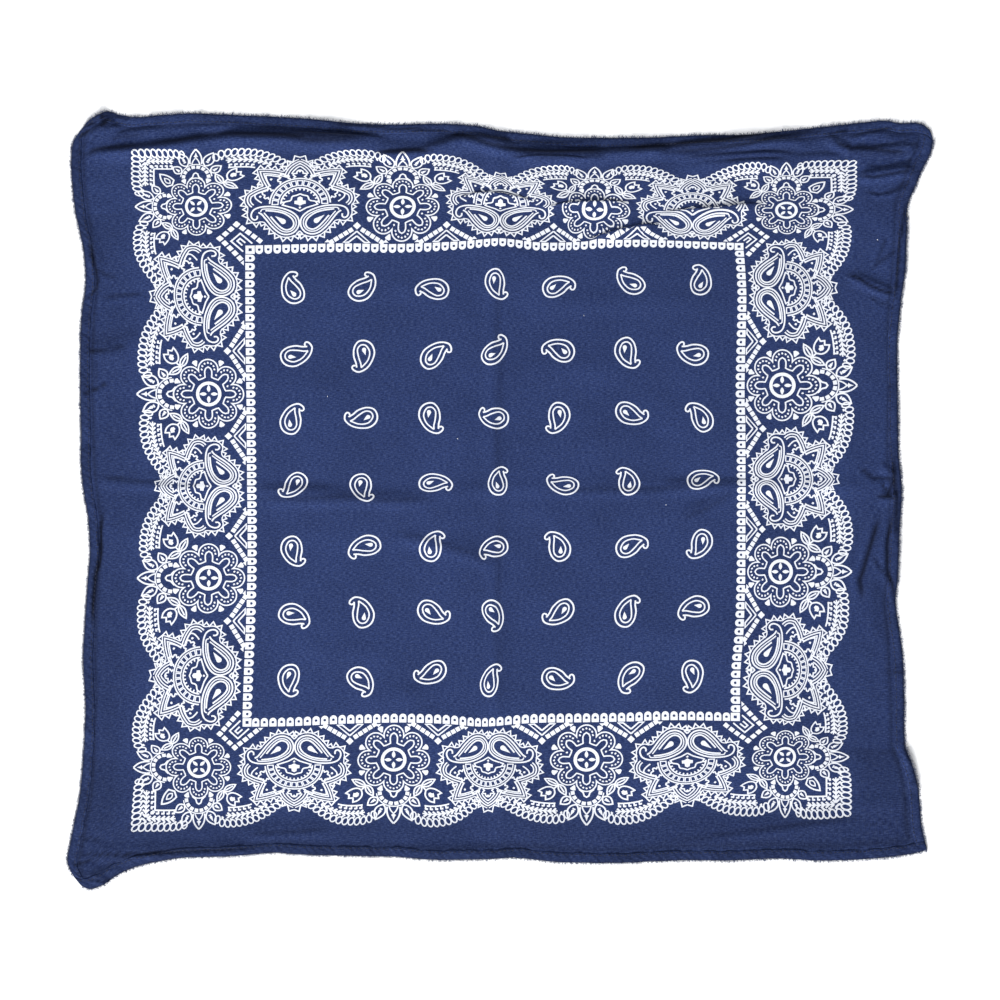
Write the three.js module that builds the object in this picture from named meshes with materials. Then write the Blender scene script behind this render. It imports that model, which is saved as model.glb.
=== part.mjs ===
// A bandana of thin printed cotton, lying open on a flat surface and seen from above.
// Millimetres. +X runs to the right along its width, +Y to its upper edge, +Z up from the surface.
// The cloth is one wall. Away from its folds it rests at z = 0, and at a fold it lifts clear.
import * as THREE from 'three';

// The laid cloth as a plain rectangle, before its edges wander and its corners are pulled out.
const laidLeft = -288.8;
const laidRight = 275.0;
const laidBottom = -247.0;
const laidTop = 258.8;

const panelWall = 1.1;       // thickness of the panel, thicker than real cotton so that it makes a solid
const hemWall = 1.7;         // a hem is three layers of the same cloth
const hemWidth = 6.5;        // width of the turned and stitched hem
const seamGap = 0.3;         // space between the panel and each hem, and between hems
const edgeReach = 75;        // how far an edge's wandering carries into the cloth

// The outline, one table for each edge. Each row is one place on the edge, in millimetres.
const topEdgeColumns = ['x', 'y'];
const topEdge = [
  [-286.7, 258.1], [-283.2, 261.9], [-277.7, 265.3], [-270.8, 267.9], [-263.9, 265.6],
  [-252.2, 263.9], [-234.9, 265.2], [-214.2, 266.5], [-197.0, 265.8], [-164.6, 264.5],
  [-131.4, 262.5], [-107.3, 260.1], [-76.2, 258.8], [-41.7, 259.2], [-16.2, 257.7],
  [-0.3, 254.3], [20.4, 252.2], [41.1, 250.1], [70.7, 249.5], [99.7, 249.6],
  [135.6, 251.3], [168.7, 251.7], [199.8, 254.6], [227.4, 257.6], [250.1, 260.1],
  [265.3, 261.5], [275.7, 259.8], [286.0, 260.0], [292.2, 258.1], [296.4, 254.6],
];
const bottomEdgeColumns = ['x', 'y'];
const bottomEdge = [
  [-288.8, -266.3], [-283.2, -268.4], [-272.9, -265.0], [-264.6, -259.1], [-252.2, -253.6],
  [-234.9, -249.4], [-217.7, -246.7], [-199.1, -246.3], [-179.7, -245.3], [-155.6, -243.6],
  [-138.3, -244.9], [-107.3, -245.6], [-76.2, -246.3], [-41.7, -248.4], [-7.2, -247.9],
  [10.0, -247.0], [41.1, -250.0], [82.5, -250.5], [123.9, -248.8], [158.4, -248.8],
  [192.9, -247.6], [218.4, -249.1], [255.0, -247.7], [275.7, -245.6], [286.0, -243.8],
  [294.3, -241.5],
];
const leftEdgeColumns = ['y', 'x'];
const leftEdge = [
  [-266.3, -288.8], [-258.1, -295.3], [-249.1, -298.8], [-238.0, -297.0], [-220.8, -293.6],
  [-203.5, -290.1], [-172.5, -287.4], [-141.4, -286.3], [-110.4, -287.9], [-86.2, -286.7],
  [-55.2, -284.6], [-35.9, -283.2], [-13.8, -284.3], [0.0, -286.7], [20.7, -289.1],
  [48.3, -289.5], [75.9, -289.8], [103.5, -289.8], [127.6, -288.8], [148.3, -286.3],
  [171.1, -287.4], [186.3, -290.5], [198.7, -293.2], [213.9, -295.0], [234.6, -296.0],
  [247.7, -294.3], [258.1, -286.7],
];
const rightEdgeColumns = ['y', 'x'];
const rightEdge = [
  [-241.5, 294.3], [-227.7, 290.8], [-210.4, 289.1], [-196.6, 287.7], [-180.8, 283.2],
  [-169.0, 278.8], [-138.0, 278.4], [-110.4, 277.4], [-91.8, 275.3], [-72.4, 272.5],
  [-51.7, 273.9], [-20.7, 275.0], [6.9, 276.7], [31.0, 274.6], [69.0, 273.8],
  [110.4, 273.8], [138.0, 276.3], [158.7, 279.1], [186.3, 280.1], [203.5, 280.8],
  [216.0, 286.0], [227.7, 290.8], [239.4, 296.7], [247.7, 298.1], [254.6, 296.4],
];

// The folds that stand up from the cloth. A fold runs from one place to another, sags sideways
// by its bow at the middle, and dies away over its two ends.
const foldColumns = ['fromX', 'fromY', 'toX', 'toY', 'bow', 'width', 'height'];
const folds = [
  // the crease of the upright storage fold, in three stretches
  [-1.5, 262.0, -2.5, 120.0, 0.5, 9.0, 2.4],
  [-2.5, 135.0, -1.5, -70.0, -1.0, 8.0, 2.0],
  [-1.5, -50.0, -1.0, -255.0, 0.8, 9.0, 2.3],
  // the crease of the level storage fold, in four stretches
  [-290.0, 11.0, -160.0, 9.0, 1.5, 9.0, 1.6],
  [-175.0, 8.0, -45.0, 2.0, -2.5, 9.0, 2.1],
  [-55.0, 3.5, 125.0, 7.0, 2.5, 9.0, 1.5],
  [100.0, 11.0, 278.0, 9.0, -2.0, 9.0, 1.9],
  // two slanted folds that leave the level one
  [162.0, 7.0, 124.0, -14.0, 2.0, 8.0, 1.5],
  [-73.0, -22.0, -2.0, -43.0, 2.0, 9.0, 1.3],
  // the gathered cloth below the upper hem
  [-281.0, 239.0, -197.0, 250.0, -3.0, 8.0, 2.6],
  [-203.0, 247.0, -92.0, 246.5, 1.0, 8.0, 3.4],
  [-98.0, 246.0, -34.0, 241.0, -2.0, 8.0, 2.8],
  [-60.0, 240.0, 8.0, 243.0, 4.0, 9.0, 3.0],
  [10.0, 238.0, 80.0, 236.5, -1.5, 8.0, 3.2],
  [70.0, 237.0, 118.0, 242.0, 1.0, 8.0, 2.4],
  [112.0, 240.5, 222.0, 245.5, 2.5, 8.0, 2.6],
  [118.0, 230.0, 214.0, 233.0, -2.0, 8.0, 1.8],
  // pleats pushed into the upper border
  [28.0, 205.5, 78.0, 202.0, 1.5, 8.0, 2.4],
  [66.0, 181.0, 110.0, 188.0, 2.5, 8.0, 2.0],
  [126.0, 199.5, 182.0, 205.5, -3.0, 8.0, 2.2],
  [-190.0, 152.0, -12.0, 136.5, 3.0, 16.0, 1.2],
  [12.0, 134.5, 164.0, 141.0, -2.0, 13.0, 1.4],
  // the pulled upper right corner
  [222.0, 250.0, 290.0, 242.5, 5.0, 8.0, 2.8],
  [244.0, 223.0, 288.0, 230.0, -2.5, 8.0, 2.2],
  [236.0, 236.0, 294.0, 250.0, 1.5, 8.0, 1.8],
  // the tucked upper left corner, and the rolled edge below it
  [-288.0, 252.0, -268.0, 266.0, 1.0, 9.0, 3.0],
  [-290.0, 196.0, -280.0, 140.0, 5.0, 8.0, 2.6],
  // creases that run beside the two upright edges
  [-275.0, 10.0, -282.0, -84.0, -3.0, 8.0, 1.6],
  [262.0, -18.0, 250.0, -72.0, 3.0, 12.0, 1.6],
  [272.0, -12.0, 268.0, -66.0, 4.0, 8.0, 1.4],
  [240.0, 155.0, 276.0, 141.0, 1.0, 9.0, 1.4],
  [262.0, 24.0, 276.0, 14.0, 1.0, 8.0, 1.5],
  // the pucker and the soft folds of the lower right corner
  [279.0, -171.0, 285.0, -203.0, 4.0, 8.0, 2.4],
  [110.0, -231.0, 250.0, -217.0, -6.0, 11.0, 1.8],
  [205.0, -222.0, 288.0, -209.0, 4.0, 10.0, 1.6],
  // the lower edge and the lower left corner
  [-72.0, -243.5, 14.0, -246.5, 3.0, 8.0, 2.0],
  [-178.0, -229.5, -119.0, -226.5, -2.0, 9.0, 1.8],
  [-294.0, -245.5, -158.0, -241.5, 1.5, 9.0, 2.6],
  [-290.0, -257.0, -270.0, -262.0, 1.0, 8.0, 1.8],
  // faint level folds across the field
  [34.0, 91.0, 92.0, 86.0, 1.5, 13.0, 1.1],
  [4.0, -9.0, 46.0, -11.0, 1.5, 12.0, 1.1],
  [90.0, -93.0, 140.0, -96.0, 2.0, 14.0, 1.2],
  [-146.0, -102.0, -66.0, -105.0, -2.0, 14.0, 1.1],
  [-106.0, -138.0, -46.0, -137.0, 2.0, 12.0, 1.0],
];

// Places where the cloth stands a little off the surface with no crease.
const swellColumns = ['x', 'y', 'halfWidth', 'halfDepth', 'height'];
const swells = [
  [-235.0, 205.0, 48.0, 60.0, 1.5],
  [-150.0, 225.0, 70.0, 34.0, 1.6],
  [70.0, 222.0, 95.0, 36.0, 2.0],
  [225.0, 205.0, 60.0, 55.0, 1.8],
  [-120.0, 40.0, 75.0, 42.0, 0.8],
  [140.0, 45.0, 80.0, 40.0, 0.9],
  [-240.0, -215.0, 55.0, 45.0, 1.4],
  [235.0, -190.0, 55.0, 50.0, 1.3],
  [30.0, -215.0, 85.0, 34.0, 1.0],
];

// How close the wall's sections stand along and up the cloth.
const spacingColumns = ['at', 'step'];
const acrossSpacing = [
  [-300, 5], [-275, 7], [-250, 12.5], [-40, 13], [-8, 4], [5, 4], [36, 13], [235, 12.5], [262, 8], [300, 5],
];
const upSpacing = [
  [-270, 4.5], [-235, 7], [-205, 13], [-20, 12.5], [0, 4.5], [14, 4.5], [34, 13], [178, 12.5], [196, 8], [222, 6], [262, 4],
];

function rowsOf(columns, table) {
  return table.map((row) => Object.fromEntries(columns.map((name, place) => [name, row[place]])));
}

// A smooth line through the rows of a table, as a function of its first column.
function smoothLine(columns, table) {
  const at = table.map((row) => row[0]);
  const value = table.map((row) => row[1]);
  const last = at.length - 1;
  const slopeAt = (i) => {
    const before = Math.max(i - 1, 0);
    const after = Math.min(i + 1, last);
    return (value[after] - value[before]) / (at[after] - at[before]);
  };
  return (place) => {
    const held = Math.min(Math.max(place, at[0]), at[last]);
    let i = 0;
    while (i < last - 1 && at[i + 1] < held) {
      i += 1;
    }
    const span = at[i + 1] - at[i];
    const t = (held - at[i]) / span;
    const rise = value[i + 1] - value[i];
    const start = slopeAt(i) * span;
    const end = slopeAt(i + 1) * span;
    return value[i] + t * (start + t * (3 * rise - 2 * start - end + t * (start + end - 2 * rise)));
  };
}

const topLine = smoothLine(topEdgeColumns, topEdge);
const bottomLine = smoothLine(bottomEdgeColumns, bottomEdge);
const leftLine = smoothLine(leftEdgeColumns, leftEdge);
const rightLine = smoothLine(rightEdgeColumns, rightEdge);

// 1 at an edge, falling smoothly to 0 at the reach.
function carried(distance, reach = edgeReach) {
  const t = Math.min(Math.max(distance / reach, 0), 1);
  return (1 - t) * (1 - t) * (1 + 2 * t);
}

// The four corners of the laid cloth, where two edge lines end together.
const corners = {
  topLeft: topEdge[0],
  topRight: topEdge[topEdge.length - 1],
  bottomLeft: bottomEdge[0],
  bottomRight: bottomEdge[bottomEdge.length - 1],
};

// Where each edge goes, as a shift from the plain rectangle.
function shiftOfLevelEdge(x, line, leftCorner, rightCorner, level) {
  const shiftX = (leftCorner[0] - laidLeft) * carried(x - laidLeft)
    + (rightCorner[0] - laidRight) * carried(laidRight - x);
  return [shiftX, line(x + shiftX) - level];
}

function shiftOfUprightEdge(y, line, lowerCorner, upperCorner, side) {
  const shiftY = (lowerCorner[1] - laidBottom) * carried(y - laidBottom)
    + (upperCorner[1] - laidTop) * carried(laidTop - y);
  return [line(y + shiftY) - side, shiftY];
}

// A place on the plain rectangle, moved to where it lies in the real outline.
function laidPlace(x, y) {
  const top = shiftOfLevelEdge(x, topLine, corners.topLeft, corners.topRight, laidTop);
  const bottom = shiftOfLevelEdge(x, bottomLine, corners.bottomLeft, corners.bottomRight, laidBottom);
  const left = shiftOfUprightEdge(y, leftLine, corners.bottomLeft, corners.topLeft, laidLeft);
  const right = shiftOfUprightEdge(y, rightLine, corners.bottomRight, corners.topRight, laidRight);
  const nearTop = carried(laidTop - y);
  const nearBottom = carried(y - laidBottom);
  const nearLeft = carried(x - laidLeft);
  const nearRight = carried(laidRight - x);
  const place = [x, y];
  const plain = {
    topLeft: [laidLeft, laidTop], topRight: [laidRight, laidTop],
    bottomLeft: [laidLeft, laidBottom], bottomRight: [laidRight, laidBottom],
  };
  const counted = {
    topLeft: nearTop * nearLeft, topRight: nearTop * nearRight,
    bottomLeft: nearBottom * nearLeft, bottomRight: nearBottom * nearRight,
  };
  for (const axis of [0, 1]) {
    place[axis] += nearTop * top[axis] + nearBottom * bottom[axis];
    place[axis] += nearLeft * left[axis] + nearRight * right[axis];
    for (const name of Object.keys(corners)) {
      place[axis] -= counted[name] * (corners[name][axis] - plain[name][axis]);
    }
  }
  return place;
}

const foldRows = rowsOf(foldColumns, folds);
const swellRows = rowsOf(swellColumns, swells);

// How far the underside stands off the surface at a place.
function liftAt(x, y) {
  let lift = 0;
  for (const fold of foldRows) {
    const alongX = fold.toX - fold.fromX;
    const alongY = fold.toY - fold.fromY;
    const length = Math.hypot(alongX, alongY);
    const t = ((x - fold.fromX) * alongX + (y - fold.fromY) * alongY) / (length * length);
    if (t <= 0 || t >= 1) {
      continue;
    }
    const aside = ((y - fold.fromY) * alongX - (x - fold.fromX) * alongY) / length;
    const across = (aside - fold.bow * 4 * t * (1 - t)) / fold.width;
    if (Math.abs(across) >= 1) {
      continue;
    }
    const crest = 0.5 + 0.5 * Math.cos(Math.PI * across);
    const ends = Math.min(1, Math.min(t, 1 - t) * 5);
    lift += fold.height * crest * ends * ends * (3 - 2 * ends);
  }
  for (const swell of swellRows) {
    const away = Math.hypot((x - swell.x) / swell.halfWidth, (y - swell.y) / swell.halfDepth);
    if (away < 1) {
      lift += swell.height * (1 - away * away) * (1 - away * away);
    }
  }
  return lift;
}

// The lift and how much longer a slanted wall must stand upright to keep its thickness.
function levelAt(x, y) {
  const step = 0.5;
  const slopeX = (liftAt(x + step, y) - liftAt(x - step, y)) / (2 * step);
  const slopeY = (liftAt(x, y + step) - liftAt(x, y - step)) / (2 * step);
  return { lift: liftAt(x, y), slant: Math.sqrt(1 + slopeX * slopeX + slopeY * slopeY) };
}

// Places along a span, closer together where the spacing table says so.
function placesBetween(from, to, table) {
  const spacing = rowsOf(spacingColumns, table);
  const stepAt = (at) => {
    let i = 0;
    while (i < spacing.length - 2 && spacing[i + 1].at < at) {
      i += 1;
    }
    const t = Math.min(Math.max((at - spacing[i].at) / (spacing[i + 1].at - spacing[i].at), 0), 1);
    return spacing[i].step + t * (spacing[i + 1].step - spacing[i].step);
  };
  const walked = [from];
  while (walked[walked.length - 1] < to) {
    const at = walked[walked.length - 1];
    walked.push(at + stepAt(at + stepAt(at) / 2));
  }
  const stretch = (to - from) / (walked[walked.length - 1] - from);
  return walked.map((at) => from + (at - from) * stretch);
}

function meshOf(name, points, faces, colour) {
  const geometry = new THREE.BufferGeometry();
  geometry.setAttribute('position', new THREE.Float32BufferAttribute(points.flat(), 3));
  geometry.setIndex(faces.flat());
  geometry.computeVertexNormals();
  const cloth = new THREE.MeshStandardMaterial({ color: colour, roughness: 0.92, metalness: 0 });
  const mesh = new THREE.Mesh(geometry, cloth);
  mesh.name = name;
  return mesh;
}

// A closed wall over a grid of places, with the same thickness everywhere.
function clothWall(name, acrossPlaces, upPlaces, thickness, colour) {
  const points = [];
  const columns = acrossPlaces.length;
  const rows = upPlaces.length;
  for (const side of [0, 1]) {
    for (const up of upPlaces) {
      for (const across of acrossPlaces) {
        const [x, y] = laidPlace(across, up);
        const level = levelAt(x, y);
        points.push([x, y, level.lift + side * thickness * level.slant]);
      }
    }
  }
  const under = (column, row) => row * columns + column;
  const over = (column, row) => columns * rows + under(column, row);
  const faces = [];
  for (let row = 0; row < rows - 1; row += 1) {
    for (let column = 0; column < columns - 1; column += 1) {
      const leaning = (column + row) % 2 === 0;
      const near = [[column, row], [column + 1, row], [column + 1, row + 1], [column, row + 1]];
      const turned = leaning ? near : [near[1], near[2], near[3], near[0]];
      const [a, b, c, d] = turned;
      faces.push([over(...a), over(...b), over(...c)], [over(...a), over(...c), over(...d)]);
      faces.push([under(...a), under(...c), under(...b)], [under(...a), under(...d), under(...c)]);
    }
  }
  const rim = [];
  for (let column = 0; column < columns - 1; column += 1) {
    rim.push([column, 0]);
  }
  for (let row = 0; row < rows - 1; row += 1) {
    rim.push([columns - 1, row]);
  }
  for (let column = columns - 1; column > 0; column -= 1) {
    rim.push([column, rows - 1]);
  }
  for (let row = rows - 1; row > 0; row -= 1) {
    rim.push([0, row]);
  }
  rim.forEach((here, place) => {
    const next = rim[(place + 1) % rim.length];
    faces.push([under(...here), under(...next), over(...next)]);
    faces.push([under(...here), over(...next), over(...here)]);
  });
  return meshOf(name, points, faces, colour);
}

// The turned hem in section: how far in from the cloth's edge, and how high above its underside.
const hemSectionColumns = ['inward', 'height'];
const hemSection = [
  [0.0, 0.55], [0.7, 0.0], [hemWidth - seamGap / 2, 0.0], [hemWidth - seamGap / 2, 0.8],
  [hemWidth - 1.2, 1.0], [hemWidth / 2, 1.06], [0.8, 0.94],
];

// A hem is its section swept along an edge, closed at both ends.
function hemAlong(name, alongPlaces, placeOf, outward, colour) {
  const section = rowsOf(hemSectionColumns, hemSection);
  const around = section.length;
  const points = [];
  for (const along of alongPlaces) {
    for (const corner of section) {
      const [x, y] = laidPlace(...placeOf(along, corner.inward));
      const level = levelAt(x, y);
      points.push([x, y, level.lift + corner.height * hemWall * level.slant]);
    }
  }
  const faces = [];
  const last = (alongPlaces.length - 1) * around;
  const add = (a, b, c) => faces.push(outward ? [a, b, c] : [a, c, b]);
  for (let ring = 0; ring < last; ring += around) {
    for (let corner = 0; corner < around; corner += 1) {
      const next = (corner + 1) % around;
      add(ring + corner, ring + around + corner, ring + around + next);
      add(ring + corner, ring + around + next, ring + next);
    }
  }
  for (let corner = 1; corner < around - 1; corner += 1) {
    add(0, corner, corner + 1);
    add(last, last + corner + 1, last + corner);
  }
  return meshOf(name, points, faces, colour);
}

const navy = 0x36426f;
const hemNavy = 0x303c68;
const inset = hemWidth + seamGap / 2;

const acrossPanel = placesBetween(laidLeft + inset, laidRight - inset, acrossSpacing);
const upPanel = placesBetween(laidBottom + inset, laidTop - inset, upSpacing);
const cornerSteps = hemSection.slice(0, 1).concat(hemSection.slice(4).reverse(), [hemSection[3]]).map((row) => row[0]);
const alongLevelHem = [
  ...cornerSteps.map((step) => laidLeft + step),
  ...acrossPanel.slice(1, -1),
  ...cornerSteps.map((step) => laidRight - step).reverse(),
];
const alongUprightHem = upPanel;

const parts = [
  clothWall('cloth_panel', acrossPanel, upPanel, panelWall, navy),
  hemAlong('hem_top', alongLevelHem, (along, inward) => [along, laidTop - inward], true, hemNavy),
  hemAlong('hem_bottom', alongLevelHem, (along, inward) => [along, laidBottom + inward], false, hemNavy),
  hemAlong('hem_left', alongUprightHem, (along, inward) => [laidLeft + inward, along], true, hemNavy),
  hemAlong('hem_right', alongUprightHem, (along, inward) => [laidRight - inward, along], false, hemNavy),
];

// The origin goes below the middle of the whole cloth, on the surface.
const bandana = new THREE.Group();
bandana.name = 'bandana';
const whole = new THREE.Box3();
for (const mesh of parts) {
  mesh.geometry.computeBoundingBox();
  whole.union(mesh.geometry.boundingBox);
}
const middle = whole.getCenter(new THREE.Vector3());
for (const mesh of parts) {
  mesh.geometry.translate(-middle.x, -middle.y, -whole.min.z);
  bandana.add(mesh);
}

export default bandana;
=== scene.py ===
import math

import bmesh
import bpy
import numpy as np
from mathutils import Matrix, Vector
from mathutils.geometry import delaunay_2d_cdt


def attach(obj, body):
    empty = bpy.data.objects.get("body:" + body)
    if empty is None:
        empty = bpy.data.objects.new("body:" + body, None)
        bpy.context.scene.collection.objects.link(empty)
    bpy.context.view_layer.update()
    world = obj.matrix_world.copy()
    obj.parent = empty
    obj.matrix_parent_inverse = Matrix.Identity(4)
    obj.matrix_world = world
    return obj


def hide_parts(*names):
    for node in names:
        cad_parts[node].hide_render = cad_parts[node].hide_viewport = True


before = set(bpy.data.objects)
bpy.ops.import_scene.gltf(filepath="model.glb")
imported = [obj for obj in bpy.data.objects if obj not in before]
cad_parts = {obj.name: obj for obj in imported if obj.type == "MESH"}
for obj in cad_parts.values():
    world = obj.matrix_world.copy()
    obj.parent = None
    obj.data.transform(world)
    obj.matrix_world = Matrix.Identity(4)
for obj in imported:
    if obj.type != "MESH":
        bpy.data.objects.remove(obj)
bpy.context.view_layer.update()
print("bandana: the frame is in")

mm = 0.001


def named(columns, rows):
    # the rows of a table, each as a dictionary with the columns' names
    return [dict(zip(columns, row)) for row in rows]


def eased(t):
    return t * t * (3 - 2 * t)


def softEnds(along, quick):
    # 0 at both ends of a line and 1 between them
    return np.clip(np.minimum(along, 1 - along) * quick, 0, 1)


# The laid cloth in millimetres, x to the right and y to the upper edge, before its middle goes to the origin.
layout = {
    "left": -288.8,
    "right": 275.0,
    "bottom": -247.0,
    "top": 258.8,
    "edgeReach": 75.0,  # how far an edge's wandering carries into the cloth
    "middle": (0.36, 0.25),  # added to x and y at the end
}

# The outline: x, y along the level edges and y, x along the upright ones.
topEdge = [
    (-286.7, 258.1), (-283.2, 261.9), (-277.7, 265.3), (-270.8, 267.9), (-263.9, 265.6), (-252.2, 263.9),
    (-234.9, 265.2), (-214.2, 266.5), (-197, 265.8), (-164.6, 264.5), (-131.4, 262.5), (-107.3, 260.1),
    (-76.2, 258.8), (-41.7, 259.2), (-16.2, 257.7), (-0.3, 254.3), (20.4, 252.2), (41.1, 250.1),
    (70.7, 249.5), (99.7, 249.6), (135.6, 251.3), (168.7, 251.7), (199.8, 254.6), (227.4, 257.6),
    (250.1, 260.1), (265.3, 261.5), (275.7, 259.8), (286, 260), (292.2, 258.1), (296.4, 254.6),
]
bottomEdge = [
    (-288.8, -266.3), (-283.2, -268.4), (-272.9, -265), (-264.6, -259.1), (-252.2, -253.6), (-234.9, -249.4),
    (-217.7, -246.7), (-199.1, -246.3), (-179.7, -245.3), (-155.6, -243.6), (-138.3, -244.9), (-107.3, -245.6),
    (-76.2, -246.3), (-41.7, -248.4), (-7.2, -247.9), (10, -247), (41.1, -250), (82.5, -250.5),
    (123.9, -248.8), (158.4, -248.8), (192.9, -247.6), (218.4, -249.1), (255, -247.7), (275.7, -245.6),
    (286, -243.8), (294.3, -241.5),
]
leftEdge = [
    (-266.3, -288.8), (-258.1, -295.3), (-249.1, -298.8), (-238, -297), (-220.8, -293.6), (-203.5, -290.1),
    (-172.5, -287.4), (-141.4, -286.3), (-110.4, -287.9), (-86.2, -286.7), (-55.2, -284.6), (-35.9, -283.2),
    (-13.8, -284.3), (0, -286.7), (20.7, -289.1), (48.3, -289.5), (75.9, -289.8), (103.5, -289.8),
    (127.6, -288.8), (148.3, -286.3), (171.1, -287.4), (186.3, -290.5), (198.7, -293.2), (213.9, -295),
    (234.6, -296), (247.7, -294.3), (258.1, -286.7),
]
rightEdge = [
    (-241.5, 294.3), (-227.7, 290.8), (-210.4, 289.1), (-196.6, 287.7), (-180.8, 283.2), (-169, 278.8),
    (-138, 278.4), (-110.4, 277.4), (-91.8, 275.3), (-72.4, 272.5), (-51.7, 273.9), (-20.7, 275),
    (6.9, 276.7), (31, 274.6), (69, 273.8), (110.4, 273.8), (138, 276.3), (158.7, 279.1),
    (186.3, 280.1), (203.5, 280.8), (216, 286), (227.7, 290.8), (239.4, 296.7), (247.7, 298.1),
    (254.6, 296.4),
]

# The print's own flat measures, in millimetres from the middle of its field.
printSizes = {
    "clothLeft": -284.4,
    "clothRight": 281.6,
    "clothBottom": -271.2,
    "clothTop": 274.4,
    "frameHalf": 171.9,   # from the middle to the beaded frame
    "rosetteHalf": 203.0,  # to the middles of the rosettes
    "printHalf": 250.4,   # to the outermost loops
    "motifPitch": 69.35,  # from a rosette to the lotus beside it
    "beadPitch": 6.03,
}

# Where the beaded frame and the top of the print lie on the surface: flat place, then place as laid.
frameLeftLine = [
    (-169, -174.8), (-145, -173.9), (-100, -172.2), (-60, -171.2), (0, -171.4), (40, -171.8), (110, -172.5), (169, -172.6),
]
frameRightLine = [
    (-169, 161.9), (-142, 162), (-105, 164.8), (-60, 165.8), (40, 165.6), (66, 165.1), (130, 166.4), (150, 165.8), (169, 164.5),
]
frameTopLine = [
    (-169, 172.3), (-110, 173.7), (-72, 173.2), (-28, 175.3), (-4, 177.4), (6, 177.2), (30, 174.4),
    (55, 174.8), (88, 176.5), (115, 176.4), (169, 174.6),
]
frameBottomLine = [
    (-172, -153.7), (-142, -153.2), (-105, -151.5), (-60, -150.6), (-32, -151.6), (-6, -153.6), (22, -151.6),
    (38, -150.7), (70, -150.4), (100, -149.8), (115, -149), (150, -149.2), (172, -149.9),
]
printTopLine = [
    (-247, 236.9), (-210, 235.6), (-165, 238.2), (-105, 240.9), (-70, 239), (-36, 237.2), (0, 233.6), (42, 237.4),
    (69, 236.3), (100, 238), (138, 234.7), (180, 238.1), (206, 235.6), (225, 235.5), (247, 233.5),
]
printBottomLine = [
    (-247, -224.7), (-225, -227.8), (-206, -227.6), (-172, -226.6), (-138, -223.3), (-105, -225.8), (-69, -223.4), (-42, -224.7),
    (0, -221.7), (42, -221.3), (69, -221.4), (100, -221.2), (138, -217.9), (172, -217.3), (206, -218.7), (230, -218.7),
    (247, -217.7),
]
printLeftLine = [
    (-247, -251.7), (-206, -254.1), (-172, -256.1), (-138, -250.7), (-105, -252.3), (-69, -253.3), (-42, -252.4), (0, -246.7),
    (42, -249.3), (69, -250.9), (105, -250.2), (138, -250.5), (170, -254.9), (206, -250.2), (225, -252), (247, -251.6),
]
printRightLine = [
    (-247, 236.2), (-206, 237.5), (-172, 238.6), (-138, 235.6), (-105, 241.5), (-69, 243.4), (-42, 243.8), (0, 240.9),
    (42, 244.7), (69, 247.4), (105, 245.1), (138, 239.1), (170, 239.8), (206, 240.9), (225, 241), (247, 238.5),
]
# The middles of the border's rosettes, and what lies level with them.
rosetteTopLine = [(-206, 198.8), (-138, 202.1), (-69, 203.3), (0, 202.4), (69, 201.3), (138, 198.5), (206, 197.7)]
rosetteBottomLine = [(-206, -181.6), (-138, -182), (-69, -180.6), (0, -181.2), (69, -180.5), (138, -178.5), (206, -174.8)]
rosetteLeftLine = [(-206, -207.3), (-138, -208), (-69, -204.6), (0, -205.6), (69, -204.6), (138, -207.3), (206, -209.4)]
rosetteRightLine = [(-206, 195.7), (-138, 196.2), (-69, 196.3), (0, 197.3), (69, 197.7), (138, 197.9), (206, 196.4)]


def smoothLine(rows):
    # a smooth curve through the rows' values, held level beyond both ends
    at, value = np.array(rows, float).T
    slope = np.empty(len(at))
    slope[1:-1] = (value[2:] - value[:-2]) / (at[2:] - at[:-2])
    slope[0] = (value[1] - value[0]) / (at[1] - at[0])
    slope[-1] = (value[-1] - value[-2]) / (at[-1] - at[-2])

    def along(place):
        held = np.clip(place, at[0], at[-1])
        i = np.clip(np.searchsorted(at, held, side="left") - 1, 0, len(at) - 2)
        span = at[i + 1] - at[i]
        t = (held - at[i]) / span
        rise = value[i + 1] - value[i]
        start, end = slope[i] * span, slope[i + 1] * span
        return value[i] + t * (start + t * (3 * rise - 2 * start - end + t * (start + end - 2 * rise)))

    return along


topLine, bottomLine, leftLine, rightLine = map(smoothLine, (topEdge, bottomEdge, leftEdge, rightEdge))
frameTop, frameBottom = map(smoothLine, (frameTopLine, frameBottomLine))
frameLeft, frameRight = map(smoothLine, (frameLeftLine, frameRightLine))
printTop, printBottom = map(smoothLine, (printTopLine, printBottomLine))
printLeft, printRight = map(smoothLine, (printLeftLine, printRightLine))
rosetteTop, rosetteBottom = map(smoothLine, (rosetteTopLine, rosetteBottomLine))
rosetteLeft, rosetteRight = map(smoothLine, (rosetteLeftLine, rosetteRightLine))


def carried(distance):
    # how much of an edge's shift is still felt this far from it
    t = np.clip(distance / layout["edgeReach"], 0, 1)
    return (1 - t) ** 2 * (1 + 2 * t)


def shiftOfEdge(along, line, startShift, endShift, startAt, endAt, level):
    slide = startShift * carried(along - startAt) + endShift * carried(endAt - along)
    return slide, line(along + slide) - level


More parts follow.
